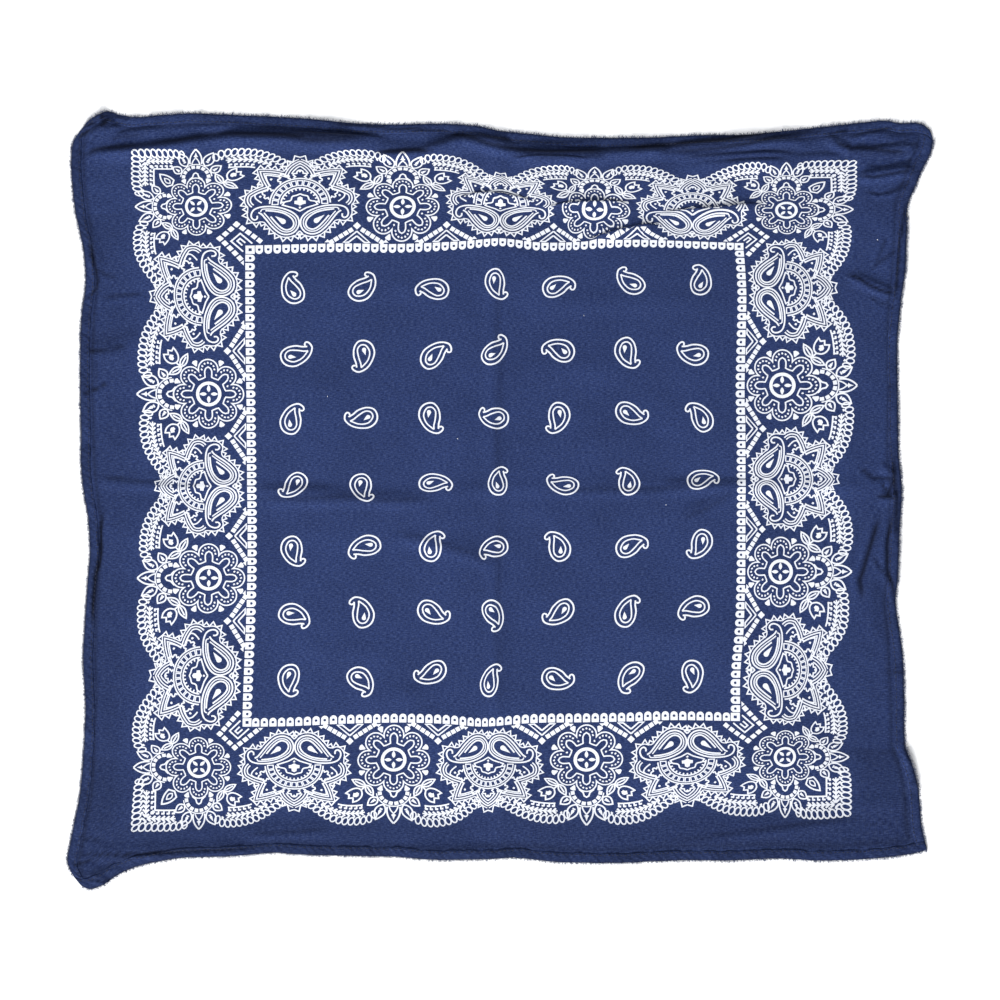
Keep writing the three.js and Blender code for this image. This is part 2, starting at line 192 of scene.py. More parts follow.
def laidPlace(x, y):
    left, right, bottom, top = (layout[name] for name in ("left", "right", "bottom", "top"))
    nearTop, nearBottom, nearLeft, nearRight = map(carried, (top - y, y - bottom, x - left, right - x))
    corners = [
        (topEdge[0], (left, top), nearTop * nearLeft),
        (topEdge[-1], (right, top), nearTop * nearRight),
        (bottomEdge[0], (left, bottom), nearBottom * nearLeft),
        (bottomEdge[-1], (right, bottom), nearBottom * nearRight),
    ]
    topX, topY = shiftOfEdge(x, topLine, topEdge[0][0] - left, topEdge[-1][0] - right, left, right, top)
    lowX, lowY = shiftOfEdge(x, bottomLine, bottomEdge[0][0] - left, bottomEdge[-1][0] - right, left, right, bottom)
    leftY, leftX = shiftOfEdge(y, leftLine, bottomEdge[0][1] - bottom, topEdge[0][1] - top, bottom, top, left)
    rightY, rightX = shiftOfEdge(y, rightLine, bottomEdge[-1][1] - bottom, topEdge[-1][1] - top, bottom, top, right)
    newX = x + nearTop * topX + nearBottom * lowX + nearLeft * leftX + nearRight * rightX
    newY = y + nearTop * topY + nearBottom * lowY + nearLeft * leftY + nearRight * rightY
    for real, plain, counted in corners:
        newX = newX - counted * (real[0] - plain[0])
        newY = newY - counted * (real[1] - plain[1])
    return newX, newY


def passThrough(nodes, values, at):
    # a smooth rise through the values at the nodes, never turning back between them
    nodes = np.array(nodes, float)
    values = np.array([np.broadcast_to(row, at.shape) for row in values], float)
    span = np.diff(nodes)[:, None]
    rise = np.diff(values, axis=0) / span
    slope = np.empty_like(values)
    slope[0], slope[-1] = rise[0], rise[-1]
    slope[1:-1] = 2 * rise[:-1] * rise[1:] / (rise[:-1] + rise[1:])
    i = np.clip(np.searchsorted(nodes, at, side="right") - 1, 0, len(nodes) - 2)
    pick = np.arange(len(at))
    wide = span[i, 0]
    t = (at - nodes[i]) / wide
    low, high = values[i, pick], values[i + 1, pick]
    start, end = slope[i, pick] * wide, slope[i + 1, pick] * wide
    return low + t * (start + t * (3 * (high - low) - 2 * start - end + t * (start + end - 2 * (high - low))))


# How far the print has crept up or down, at the left and at the right of the frame.
creep = [(-142, 0.8, 1.0), (-15, 1.6, 3.2), (15, -1.4, 0.3), (142, -0.7, 2.7)]
# Where the print is drawn together by the upright storage fold and beside a pleat.
storageFold = {
    "at": -6,
    "lossBelow": 3,
    "lossAbove": 1.7,
    "reach": 15,
    "pleatAt": 51,
    "pleatLoss": 1.3,
    "pleatReach": 5,
}

# Pleats pushed into the upper border: from and to in flat places, how far the cloth doubles back,
# how wide the turn is, and how high the layers stand.
pleats = named(("fromU", "fromV", "toU", "toV", "bow", "tuck", "turn", "height"), [
    (-32, 209, 25, 209, 8.5, 2.6, 3.5, 1.9),
    (30, 204.5, 98, 212, 2, 3.2, 4.2, 2),
    (64, 175.5, 118, 192, 1, 2.4, 2.6, 1.8),
    (116, 204, 192, 214, -1, 2.9, 3.8, 1.9),
    (-150, 262.5, -78, 262.5, 0, 1.5, 2.3, 1.9),
    (4, 257, 70, 258, 0, 1.6, 2.3, 2),
])


def acrossPleat(p, u, v):
    # how far along the pleat a flat place lies, and how many turn widths away from it
    along = (u - p["fromU"]) / (p["toU"] - p["fromU"])
    held = np.clip(along, 0, 1)
    middle = p["fromV"] + held * (p["toV"] - p["fromV"]) + p["bow"] * 4 * held * (1 - held)
    return along, (v - middle) / p["turn"]


def flatToLaid(u, v):
    u, v = np.asarray(u, float), np.asarray(v, float)
    s, f = printSizes, storageFold
    across = up = s["frameHalf"]
    middles, outer = s["rosetteHalf"], s["printHalf"]
    x = passThrough(
        (s["clothLeft"], -outer, -middles, -across, across, middles, outer, s["clothRight"]),
        (layout["left"], printLeft(v), rosetteLeft(v), frameLeft(v) - f["lossBelow"],
         frameRight(v) + f["lossBelow"], rosetteRight(v), printRight(v), layout["right"]), u,
    )
    low, high = frameBottom(u), frameTop(u)
    side = np.clip(u / across, -1, 1) * 0.5 + 0.5
    levels = [(s["clothBottom"], layout["bottom"]), (-outer, printBottom(u)), (-middles, rosetteBottom(u)), (-up, low)]
    levels += [
        (at, low + (high - low) * (at + up) / (2 * up) + leftShift * (1 - side) + rightShift * side)
        for at, leftShift, rightShift in creep
    ]
    levels += [(up, high), (middles, rosetteTop(u)), (outer, printTop(u)), (s["clothTop"], layout["top"])]
    y = passThrough([at for at, _ in levels], [line for _, line in levels], v)
    above = np.clip((v + 170) / 340, 0, 1)
    loss = f["lossBelow"] + (f["lossAbove"] - f["lossBelow"]) * above
    x = x - loss * np.tanh((u - f["at"]) / f["reach"])
    border = np.clip((v - 150) / 18, 0, 1)
    x = x - f["pleatLoss"] * border * np.tanh((u - f["pleatAt"]) / f["pleatReach"])
    spare = f["lossBelow"] - loss - f["pleatLoss"] * border
    x = x - np.where(u > 0, spare, -spare) * np.clip(np.abs(u) / across, 0, 1)
    margin = np.clip((np.abs(u) - across) / (s["clothRight"] - across), 0, 1)
    x = x + np.sign(u) * f["lossBelow"] * margin
    for p in pleats:
        along, q = acrossPleat(p, u, v)
        y = y - eased(softEnds(along, 4)) * p["tuck"] * q * np.exp(0.5 * (1 - q * q))
    return laidPlace(x, y)


def pleatLift(u, v):
    lift = np.zeros(np.shape(u))
    for p in pleats:
        along, q = acrossPleat(p, u, v)
        step = 0.5 * (1 - np.tanh(1.7 * q)) * np.exp(-(np.minimum(q, 0) / 2.6) ** 2)
        lift += eased(softEnds(along, 4)) * p["height"] * step
    return lift


# Soft folds, in laid millimetres.
folds = named(("fromX", "fromY", "toX", "toY", "bow", "width", "height"), [
    # the upright storage fold
    (-1.5, 262, -2.5, 120, 0.5, 9, 2.4), (-2.5, 135, -1.5, -70, -1, 8, 2),
    (-1.5, -50, -1, -255, 0.8, 9, 2.3),
    # the level storage fold and what leaves it
    (-290, 11, -160, 9, 1.5, 9, 1.6), (-175, 8, -45, 2, -2.5, 9, 2.1),
    (-55, 3.5, 125, 7, 2.5, 9, 1.5), (100, 11, 278, 9, -2, 9, 1.9),
    (162, 7, 124, -14, 2, 8, 1.5), (-73, -22, -2, -43, 2, 9, 1.3),
    # below the upper hem
    (-281, 239, -197, 250, -3, 8, 2.6), (-203, 247, -92, 246.5, 1, 8, 3.4),
    (-98, 246, -34, 241, -2, 8, 2.8), (-60, 240, 8, 243, 4, 9, 3),
    (10, 238, 80, 236.5, -1.5, 8, 3.2), (70, 237, 118, 242, 1, 8, 2.4),
    (112, 240.5, 222, 245.5, 2.5, 8, 2.6), (118, 230, 214, 233, -2, 8, 1.8),
    # along the pleats of the upper border
    (28, 205.5, 78, 202, 1.5, 8, 2.4), (66, 181, 110, 188, 2.5, 8, 2),
    (126, 199.5, 182, 205.5, -3, 8, 2.2), (-190, 152, -12, 136.5, 3, 16, 1.2),
    (12, 134.5, 164, 141, -2, 13, 1.4),
    # the corners and the edges
    (222, 250, 290, 242.5, 5, 8, 2.8), (244, 223, 288, 230, -2.5, 8, 2.2),
    (236, 236, 294, 250, 1.5, 8, 1.8), (-288, 252, -268, 266, 1, 9, 3),
    (-290, 196, -280, 140, 5, 8, 2.6), (-275, 10, -282, -84, -3, 8, 1.6),
    (262, -18, 250, -72, 3, 12, 1.6), (272, -12, 268, -66, 4, 8, 1.4),
    (240, 155, 276, 141, 1, 9, 1.4), (262, 24, 276, 14, 1, 8, 1.5),
    (279, -171, 285, -203, 4, 8, 2.4), (110, -231, 250, -217, -6, 11, 1.8),
    (205, -222, 288, -209, 4, 10, 1.6), (-72, -243.5, 14, -246.5, 3, 8, 2),
    (-178, -229.5, -119, -226.5, -2, 9, 1.8), (-294, -245.5, -158, -241.5, 1.5, 9, 2.6),
    (-290, -257, -270, -262, 1, 8, 1.8),
    # faint ones across the field
    (34, 91, 92, 86, 1.5, 13, 1.1), (4, -9, 46, -11, 1.5, 12, 1.1),
    (90, -93, 140, -96, 2, 14, 1.2), (-146, -102, -66, -105, -2, 14, 1.1),
    (-106, -138, -46, -137, 2, 12, 1),
])
swells = named(("x", "y", "halfWidth", "halfDepth", "height"), [
    (-235, 205, 48, 60, 1.5), (-150, 225, 70, 34, 1.6), (70, 222, 95, 36, 2),
    (225, 205, 60, 55, 1.8), (-120, 40, 75, 42, 0.8), (140, 45, 80, 40, 0.9),
    (-240, -215, 55, 45, 1.4), (235, -190, 55, 50, 1.3), (30, -215, 85, 34, 1),
    (-277, 256, 13, 10, 1.5),
])


def softWaves(x, y, wavelengths, height, seed):
    # a calm random unevenness made of plane waves
    chance = np.random.default_rng(seed)
    total = np.zeros(np.shape(x))
    count = 28
    for _ in range(count):
        wavelength = chance.uniform(*wavelengths)
        heading = chance.uniform(0, math.pi)
        phase = chance.uniform(0, 2 * math.pi)
        total += np.sin((x * math.cos(heading) + y * math.sin(heading)) * 2 * math.pi / wavelength + phase)
    return height * total / math.sqrt(count / 2)


def besideFold(row, x, y, upward=False):
    # how far along a bowed line each place lies, and how far to its left, or with upward above it
    alongX, alongY = row["toX"] - row["fromX"], row["toY"] - row["fromY"]
    length = math.hypot(alongX, alongY)
    t = ((x - row["fromX"]) * alongX + (y - row["fromY"]) * alongY) / length**2
    aside = ((y - row["fromY"]) * alongX - (x - row["fromX"]) * alongY) / length
    t = np.clip(t, 0, 1)
    if upward:
        aside = aside * math.copysign(1, alongX)
    return t, aside - row["bow"] * 4 * t * (1 - t)


def foldLift(x, y):
    lift = np.zeros(np.shape(x))
    for f in folds:
        t, aside = besideFold(f, x, y)
        across = np.clip(aside / f["width"], -1, 1)
        lift += f["height"] * (0.5 + 0.5 * np.cos(np.pi * across)) * eased(softEnds(t, 5))
    return lift


# Sharp creases: a slow rise from below, a crest along the line and a quick fall beyond it.
creases = named(("fromX", "fromY", "toX", "toY", "bow", "rise", "fall", "height"), [
    (-280, 238, -197, 249, -1, 9, 4, 2.6), (-200, 248.6, -88, 247.8, 0.5, 11, 4.6, 4.2),
    (-84, 238.2, -50, 239.6, 0, 8, 3.6, 3), (-56, 239.6, -22, 249.6, 0, 8, 3.6, 3),
    (-28, 250, 8, 245.4, 0.6, 9, 4, 3.6), (-8, 246.4, 28, 237.4, -0.5, 8, 3.6, 3),
    (8, 236.8, 74, 236.8, 0.4, 9, 4.4, 3.8), (66, 237.8, 118, 239.6, 0.5, 8, 3.8, 2.8),
    (112, 243.6, 218, 246.4, 1.5, 8, 3.4, 2.6), (116, 237.2, 208, 240.2, -1, 6, 3, 1.8),
    (130, 231.2, 200, 234, 0.8, 6, 3, 1.4),
    (223, 251, 243, 241, 0.5, 8, 3.4, 2.6), (238, 242.2, 291, 243.4, -1.5, 8, 3.6, 3),
    (245, 222.8, 287, 228, 0.5, 8, 3.4, 2.4), (239, 155.6, 273, 141.2, 0.6, 9, 3.6, 1.7),
    (261, 25.2, 273, 14.8, 0, 6, 3, 1.6), (260, 2, 275, 2.4, 0.2, 6, 3, 1.8),
    (277, -170, 286, -202, 1, 5, 3, 2), (-174, 6.2, -112, 6.8, 0.3, 8, 3.4, 1.3),
    (-171, 2, -45, 0, 0.5, 9, 4, 1.4), (108, 10.2, 172, 11, 0.4, 9, 3.8, 1.6),
    (163, 7.4, 122, -14.6, 0.6, 8, 4, 1), (-74, -22.6, -2, -43.8, 0.8, 9, 4, 0.9),
    # the small knot of the upper left corner
    (-287, 247, -266, 262, 0.6, 4, 2.6, 3.4), (-281, 252, -262, 258.4, -0.5, 3.4, 2.4, 2.8),
    (-285, 241, -280, 257, 0.4, 3, 2.4, 2.6), (-268, 250, -232, 255, 1, 6, 3.4, 2.2),
])


def creaseLift(x, y):
    lift = np.zeros(np.shape(x))
    for c in creases:
        t, aside = besideFold(c, x, y, upward=True)
        near = np.clip(np.where(aside < 0, 1 + aside / c["rise"], 1 - aside / c["fall"]), 0, 1)
        lift = np.maximum(lift, c["height"] * eased(near) * eased(softEnds(t, 5)))
    return lift


# Narrow folds with painted shade at their bottoms: width, depth, how dark the painted shade is, and the places that
# each passes through.
grooves = [
    (2.3, 1.5, 0.66, [(-251.5, 244.3), (-236.3, 246.3), (-223.2, 247.7), (-203.9, 251.2), (-186, 252.9),
      (-164.6, 252.2), (-148, 251.2), (-132.1, 247.7), (-110.7, 247.7), (-88.7, 249.1)]),
    (1.8, 1.1, 0.46, [(-172.8, 256.3), (-148, 256), (-124.5, 252.9), (-103.8, 252.5), (-79, 254.3)]),
    (1.3, 0.6, 0.18, [(-234.9, 256.7), (-210.1, 258.8), (-185.3, 261.2), (-164.6, 260.1)]),
    (1.8, 1, 0.66, [(-87.3, 239.8), (-74.9, 239.6), (-61.1, 240.7), (-45.9, 240.1)]),
    (1.9, 1.5, 0.72, [(-45.9, 246.3), (-36.9, 250.1), (-28.6, 251.5), (-19.7, 249.4), (-9.3, 245.6), (1.7, 242.9),
      (12.8, 241.2), (34.2, 240.1), (58.3, 240.8), (83.8, 241.8)]),
    (1.4, 0.8, 0.45, [(-21, 255), (-7.2, 249.8), (13.5, 247.4), (41.1, 246.7), (68.7, 247.7)]),
    (1.3, 0.6, 0.32, [(20.4, 234.6), (41.1, 235.3), (76.9, 236.7)]),
    (2.3, 1.2, 0.78, [(81.1, 241.5), (103.2, 243.6), (130.8, 246.3), (154.2, 248.4), (176.3, 252.5), (195.6, 255.6)]),
    (1.7, 1.1, 0.62, [(110.1, 239.1), (130.8, 240.8), (152.8, 242.5), (170.8, 245.3), (192.9, 250.5),
      (210.8, 253.9), (226, 255)]),
    (1.4, 0.8, 0.45, [(122.5, 235.6), (141.8, 237.4), (162.5, 239.4), (181.8, 240.8), (197, 239.8), (212.2, 238)]),
    (1.2, 0.6, 0.35, [(152.8, 233.6), (172.2, 235.6), (199.8, 236)]),
    (1.5, 1.3, 0.66, [(226.1, 249.8), (234.5, 244.8), (242.1, 242.3), (253.9, 241.8), (265.7, 240.6),
      (282.6, 239.3)]),
    (3, 0.8, 0.26, [(238, 239.6), (250, 238.2), (264, 237.4), (280, 236.6)]),
    (1.1, 0.8, 0.45, [(228.6, 253.2), (234.5, 254), (240.4, 253.9)]),
    (1.2, 0.9, 0.48, [(240.4, 249.8), (248.8, 252.4), (253.9, 253.9), (261.5, 255.3), (272.5, 257)]),
    (1.3, 0.8, 0.42, [(257.2, 243.9), (269.9, 245.6), (278.3, 247.3), (282.6, 248.2)]),
    (1.6, 0.6, 0.28, [(206.7, 238.9), (223.5, 239.7), (236.2, 238.9)]),
    (1.3, 1.1, 0.62, [(246.3, 223.3), (257.2, 222.5), (265.7, 224.1), (275.8, 225.8), (282.6, 227.1)]),
    (1.6, 0.7, 0.30, [(250.2, 231.5), (262, 229.4), (274, 231.6), (286, 235.4)]),
    (1.2, 0.8, 0.36, [(252, 212.6), (262, 211), (272, 214.6), (281, 220.6)]),
    (1.3, 0.6, 0.30, [(264.6, 209.8), (274.3, 213.9), (283.9, 220.1)]),
    (1.1, 1.3, 0.78, [(238.4, 156.4), (239.8, 155.6), (248.1, 151.8), (254.9, 147.7), (261.9, 144.6),
      (267.4, 142.8), (272.9, 142.1)]),
    (1, 1, 0.66, [(279.4, 206), (277.4, 190), (275.2, 176), (273.9, 160), (273.2, 148), (272.6, 138)]),
    (1.2, 0.6, 0.32, [(266.4, 182), (262.9, 172), (258.8, 163.4)]),
    (1.4, 0.7, 0.34, [(256.3, 160.1), (264.6, 166.3), (273.6, 173.2)]),
    (1.3, 0.6, 0.34, [(253.6, 140.8), (264.6, 134.5), (272.9, 132.5)]),
    (1, 1.2, 0.78, [(-291.5, 249.6), (-287.5, 252.1), (-284.5, 254.2), (-281.6, 255.6)]),
    (0.9, 1, 0.70, [(-285.1, 257), (-282, 259.4), (-279.6, 258.5), (-277.4, 256.7)]),
    (1, 1.2, 0.76, [(-274.7, 267), (-274.3, 264.1), (-274.1, 261), (-273.4, 257.4)]),
    (1.5, 1, 0.60, [(-271.9, 266.2), (-271.2, 263.2), (-272, 259)]),
    (0.9, 0.9, 0.66, [(-277.6, 258.7), (-274.1, 257.2), (-270.6, 259)]),
    (0.9, 0.6, 0.45, [(-270.6, 265.4), (-266.1, 264.1), (-260.5, 263.2), (-254.9, 262.3)]),
    (1.8, 1.2, 0.66, [(-286.5, 237.6), (-279.6, 241.4), (-272.2, 242.8), (-262.2, 243.2), (-249, 244.6)]),
    (1.4, 0.6, 0.34, [(-269.2, 248.7), (-263, 250.1), (-256.9, 250.8), (-245.6, 252)]),
    (1, 0.8, 0.66, [(-117.6, 259), (-100, 258.4), (-83.1, 257.2), (-76.9, 255.8), (-63.4, 255.8), (-48.6, 255),
      (-38.8, 254.6), (-29.4, 252.3)]),
    (1.6, 0.9, 0.36, [(-279.1, 16.6), (-255.6, 13.5), (-228, 11), (-197.7, 9.7)]),
    (1.8, 0.9, 0.30, [(-171.5, 2.1), (-138.3, 0.3), (-102.5, 1.4), (-69.3, -0.3), (-47.3, 0.7)]),
    (1.8, 0.8, 0.26, [(35.5, 6.2), (68.7, 8.3), (103.2, 7.6), (137.7, 10), (163.9, 11)]),
    (2.4, 0.6, 0.20, [(-1.7, 164.2), (-2.4, 124.2), (-1, 82.8), (-2.4, 41.4), (-1.7, 9.7)]),
    (2.4, 0.6, 0.18, [(-1.7, -13.8), (-1, -62.1), (-1.7, -103.5), (-0.3, -146.3)]),
    (2, 0.7, 0.26, [(161.8, 6.9), (152.8, 0), (140.4, -6.9), (123.9, -13.8)]),
    (2.2, 0.6, 0.20, [(-73.5, -22.1), (-48.6, -27.6), (-23.8, -35.9), (-1.7, -44.2)]),
    (1.5, 0.7, 0.32, [(278.4, -167), (281.2, -180.8), (283.9, -197.3), (285.3, -208.4)]),
    (1.6, 0.8, 0.30, [(110.1, -233.2), (144.6, -231.8), (186, -226.3), (227.4, -220.8), (252.2, -218)]),
    (1.5, 0.6, 0.28, [(-172.8, -229.8), (-149.4, -229.1), (-119, -227)]),
    (1.2, 0.9, 0.58, [(-296, -244.8), (-276, -244.8), (-257.9, -244.5), (-228, -242.9), (-196.6, -241.5),
      (-166, -240)]),
    (1.1, 0.6, 0.40, [(-291.5, -233), (-283, -234.2), (-275, -234.8)]),
    (1.1, 0.7, 0.45, [(-296, -251.6), (-287, -250.2), (-276.5, -248.2)]),
    (1.1, 0.7, 0.45, [(-285, -262.4), (-275, -262.2), (-264.5, -261.4)]),
    # beside the left hem
    (1.2, 0.9, 0.64, [(-282.8, 179), (-280.8, 167.1), (-279.2, 159.2), (-277.4, 151.8), (-278.6, 146.3),
      (-281.1, 142.6), (-286.4, 138)]),
    (1.2, 0.6, 0.32, [(-279, 159.4), (-272.5, 155.5), (-264.3, 152.8)]),
    (1.5, 0.7, 0.36, [(-273.5, 139.2), (-260.3, 141.5), (-245.7, 142.2)]),
    (5.5, 0.8, 0.15, [(-286, 110), (-266, 112), (-246, 120)]),
    (1.3, 0.9, 0.64, [(-286, 102.2), (-275.7, 103), (-266.4, 104), (-258.3, 105.2)]),
    (1.1, 0.8, 0.75, [(-288, 72.6), (-279.9, 75.9), (-271.5, 79.9)]),
    (0.9, 0.5, 0.30, [(-278.6, 95.8), (-278.9, 88), (-278.6, 80.4)]),
    (1.3, 1.1, 0.88, [(-273.9, -6), (-275.7, -22.2), (-275.2, -34.5), (-276.3, -42.8), (-279.1, -51.8),
      (-279.8, -62.1), (-280.8, -72.5), (-281.4, -88)]),
    # beside the right hem
    (1.9, 1.3, 0.76, [(261, -12), (256.3, -28.3), (252.5, -40.7), (250.4, -48.4), (247.8, -55.4), (249.9, -69.1)]),
    (1.4, 1.1, 0.74, [(270.6, -9), (266.5, -30), (266.7, -47.4), (270.3, -58.4), (271.3, -70.9)]),
    (1.2, 0.8, 0.50, [(256.6, -39.4), (262.4, -47.6), (269.1, -56)]),
    (1.6, 1, 0.64, [(271.3, 31.9), (271.8, 13.8), (273.6, 0.7), (272.9, -16.9), (272.4, -30)]),
    (1.1, 0.8, 0.70, [(262.6, 11.2), (265.8, 6.6), (269.2, 1.8)]),
    (1.2, 0.9, 0.80, [(259, 3), (265.4, 2), (272, 0.8)]),
    (1.1, 0.7, 0.62, [(272.2, 15.2), (269.8, 10.2), (267.2, 5.2)]),
    (1.6, 0.9, 0.56, [(247.4, 21.2), (252.6, 18.6), (256.9, 15.2), (272.4, 14.4)]),
    (6, 0.7, 0.16, [(260, -52), (264, -74), (271, -98)]),
    (1.2, 0.6, 0.44, [(264, -117.8), (271, -118.6), (279, -119.4)]),
]


def awayFromLine(x, y, line):
    # how far each place is from a bent line, on which side, and how far along it lies
    points = np.asarray(line, float)
    length = np.concatenate([[0], np.cumsum(np.linalg.norm(np.diff(points, axis=0), axis=1))])
    best, side, along = np.full(np.shape(x), 1e9), np.ones(np.shape(x)), np.zeros(np.shape(x))
    for i in range(len(points) - 1):
        (ax, ay), (bx, by) = points[i], points[i + 1]
        t = np.clip(((x - ax) * (bx - ax) + (y - ay) * (by - ay)) / ((bx - ax) ** 2 + (by - ay) ** 2), 0, 1)
        away = np.hypot(x - ax - t * (bx - ax), y - ay - t * (by - ay))
        nearer = away < best
        best = np.where(nearer, away, best)
        side = np.where(nearer, np.sign((bx - ax) * (y - ay) - (by - ay) * (x - ax)), side)
        along = np.where(nearer, (length[i] + t * (length[i + 1] - length[i])) / length[-1], along)
    return best * side, along


def grooveLift(x, y):
    lift = np.zeros(np.shape(x))
    for width, depth, _, line in grooves:
        away, along = awayFromLine(x, y, line)
        below = np.exp(-((away + 1.9 * width) / (1.3 * width)) ** 2)  # the low roll beside the groove
        lift += softEnds(along, 5) * depth * (0.8 * below - np.exp(-((away / width) ** 2)))
    return lift


def foldShade(x, y):
    # painted shade: how much light reaches the cloth, less in the grooves and beyond the crests, with a painted
    # highlight beside each groove
    shade = np.ones(np.shape(x))
    for c in creases:
        t, aside = besideFold(c, x, y, upward=True)
        beyond = (aside - 0.6 * c["fall"]) / (0.5 * c["fall"])
        shade = np.minimum(shade, 1 - paintedShadeAndWear["crest"] * c["height"] * softEnds(t, 6) * np.exp(-(beyond**2)))
    for width, _, dark, line in grooves:
        away, along = awayFromLine(x, y, line)
        ends = np.clip(np.minimum(along, 1 - along) * 6 + 0.15, 0, 1)
        # painted shade at the groove's bottom, then a painted highlight on the low roll beside it
        shade = shade * (1 - dark * ends * np.exp(-((away / (0.95 * width)) ** 2)))
        shade = shade * (1 + 0.12 * dark * ends * np.exp(-(((away + 2.6 * width) / (1.2 * width)) ** 2)))
    return shade


# Painted shade: how much darker the cloth reads beyond its crests, in its pleats, margins and lower corners, and a
# painted shadow in the seam beside each hem.
paintedShadeAndWear = {
    "crest": 0.09,  # for each millimetre of its height
    "pleat": 0.6,
    "lowerMargin": 0.22,
    "outerMargins": 0.03,  # the upper and the right one
    "leftMargin": 0.13,
    "marginUntil": 34,  # millimetres from the edge
    "marginFade": 14,
    "lowerCorners": 0.09,
    "seam": 0.38,
    "seamAt": 7.3,
    "seamWidth": 1.1,
}


def pleatShade(u, v):
    # painted shade: in the pleats, darker towards the margins and the lower corners, and a painted shadow line in the
    # seam beside each hem
    w = paintedShadeAndWear
    shade = np.ones(np.shape(u))
    for p in pleats:
        along, q = acrossPleat(p, u, v)
        shade = np.minimum(shade, 1 - w["pleat"] * softEnds(along, 5) * np.exp(-((q - 0.6) / 0.7) ** 2))
    s = printSizes
    edge = np.minimum(u - s["clothLeft"], s["clothRight"] - u)
    edge = np.minimum(edge, np.minimum(v - s["clothBottom"], s["clothTop"] - v))
    margin = np.where(v < -200, w["lowerMargin"], np.where((u > 200) | (v > 200), w["outerMargins"], w["leftMargin"]))
    marginShade = np.clip((w["marginUntil"] - edge) / w["marginFade"], 0, 1) * margin
    marginShade = marginShade + np.clip((np.abs(u) - 150) / 130, 0, 1) * np.clip(-v / 200, 0, 1) * w["lowerCorners"]
    return shade * (1 - marginShade) * (1 - w["seam"] * np.exp(-((edge - w["seamAt"]) / w["seamWidth"]) ** 2))


def swellLift(x, y):
    lift = np.zeros(np.shape(x))
    for s in swells:
        away = ((x - s["x"]) / s["halfWidth"]) ** 2 + ((y - s["y"]) / s["halfDepth"]) ** 2
        lift += s["height"] * np.clip(1 - away, 0, 1) ** 2
    return lift


wrinkles = {
    "foldShare": 0.62,    # how much of their height the soft folds keep
    "softHeight": 0.34,
    "softLengths": (45, 110),
    "fineHeight": 0.09,
    "fineLengths": (11, 26),
    "seed": 7,
}


def laidLift(x, y):
    w = wrinkles
    soft = softWaves(x, y, w["softLengths"], w["softHeight"], w["seed"]) + w["softHeight"]
    fine = softWaves(x, y, w["fineLengths"], w["fineHeight"], w["seed"] + 1)
    broad = w["foldShare"] * foldLift(x, y) + creaseLift(x, y) + swellLift(x, y) + np.maximum(soft, 0) + fine
    return np.maximum(broad + grooveLift(x, y), 0)


def clothSurface(u, v):
    # where a place on the flat cloth's underside lies, in metres
    u, v = np.asarray(u, float), np.asarray(v, float)
    x, y = flatToLaid(u, v)
    z = laidLift(x, y) + pleatLift(u, v)
    moveX, moveY = layout["middle"]
    return np.stack([(x + moveX) * mm, (y + moveY) * mm, z * mm], axis=-1)


def gridNormals(points):
    alongU = np.gradient(points, axis=1)
    alongV = np.gradient(points, axis=0)
    normal = np.cross(alongU, alongV)
    return normal / np.linalg.norm(normal, axis=-1, keepdims=True)


def sceneObject(name, data):
    made = bpy.data.objects.new(name, data)
    bpy.context.scene.collection.objects.link(made)
    return made


def meshObject(name, points, faces):
    mesh = bpy.data.meshes.new(name)
    mesh.from_pydata([tuple(p) for p in points], [], faces)
    mesh.update()
    return sceneObject(name, mesh)


def smoothShaded(piece):
    piece.data.polygons.foreach_set("use_smooth", np.ones(len(piece.data.polygons), bool))


def gridFaces(columns, rows, first=0, flip=False):
    c, r = np.meshgrid(np.arange(columns - 1), np.arange(rows - 1))
    a = (first + r * columns + c).ravel()
    quads = np.stack([a, a + 1, a + columns + 1, a + columns], axis=1)
    return (quads[:, ::-1] if flip else quads).tolist()


def giveFlatMap(piece, flat):
    # the piece's own map holds flat places in metres, so that weave and print follow the cloth
    layer = piece.data.uv_layers.new(name="flatCloth")
    index = np.empty(len(piece.data.loops), int)
    piece.data.loops.foreach_get("vertex_index", index)
    layer.uv.foreach_set("vector", (flat[index] * mm + 0.3).ravel())


def givePoints(piece, name, values, kind="FLOAT"):
    # one value or vector for each point of the piece
    layer = piece.data.attributes.new(name, kind, "POINT")
    layer.data.foreach_set("value" if kind == "FLOAT" else "vector", np.asarray(values, np.float32).ravel())


clothSizes = {
    "thickness": 0.45,
    "columnStep": 4.2,
    "cornerStep": 1.3,    # columns stand closer at the left edge and in the right margin
    "leftUntil": -252.0,
    "rightFrom": 232.0,
    "rowStep": 3.0,
    "finerUntil": -228.0,
    "finerFrom": 130.0,
    "finerStep": 1.75,
    "pleatsUntil": 222.0,
    "pleatRowStep": 1.0,  # rows stand closer in the pleated upper border
    "pleatsFrom": 168.0,
    "underHem": 3.2,      # how far in from its edge the panel ends, inside the hem
}


def clothGrid():
    c, s = clothSizes, printSizes
    left, right = s["clothLeft"] + c["underHem"], s["clothRight"] - c["underHem"]
    bottom, top = s["clothBottom"] + c["underHem"], s["clothTop"] - c["underHem"]

    def steps(*stops):
        # even places between the stops, each pair with its own step
        places = [np.array(stops[0][:1])]
        for (start, step), (end, _) in zip(stops, stops[1:]):
            places.append(np.linspace(start, end, round((end - start) / step) + 1)[1:])
        return np.concatenate(places)

    us = steps(
        (left, c["cornerStep"]), (c["leftUntil"], c["columnStep"]), (c["rightFrom"], c["cornerStep"]), (right, 0),
    )
    vs = steps(
        (bottom, c["finerStep"]), (c["finerUntil"], c["rowStep"]), (c["finerFrom"], c["finerStep"]),
        (c["pleatsFrom"], c["pleatRowStep"]), (c["pleatsUntil"], 1.25 * c["pleatRowStep"]), (top, 0),
    )
    return np.meshgrid(us, vs)


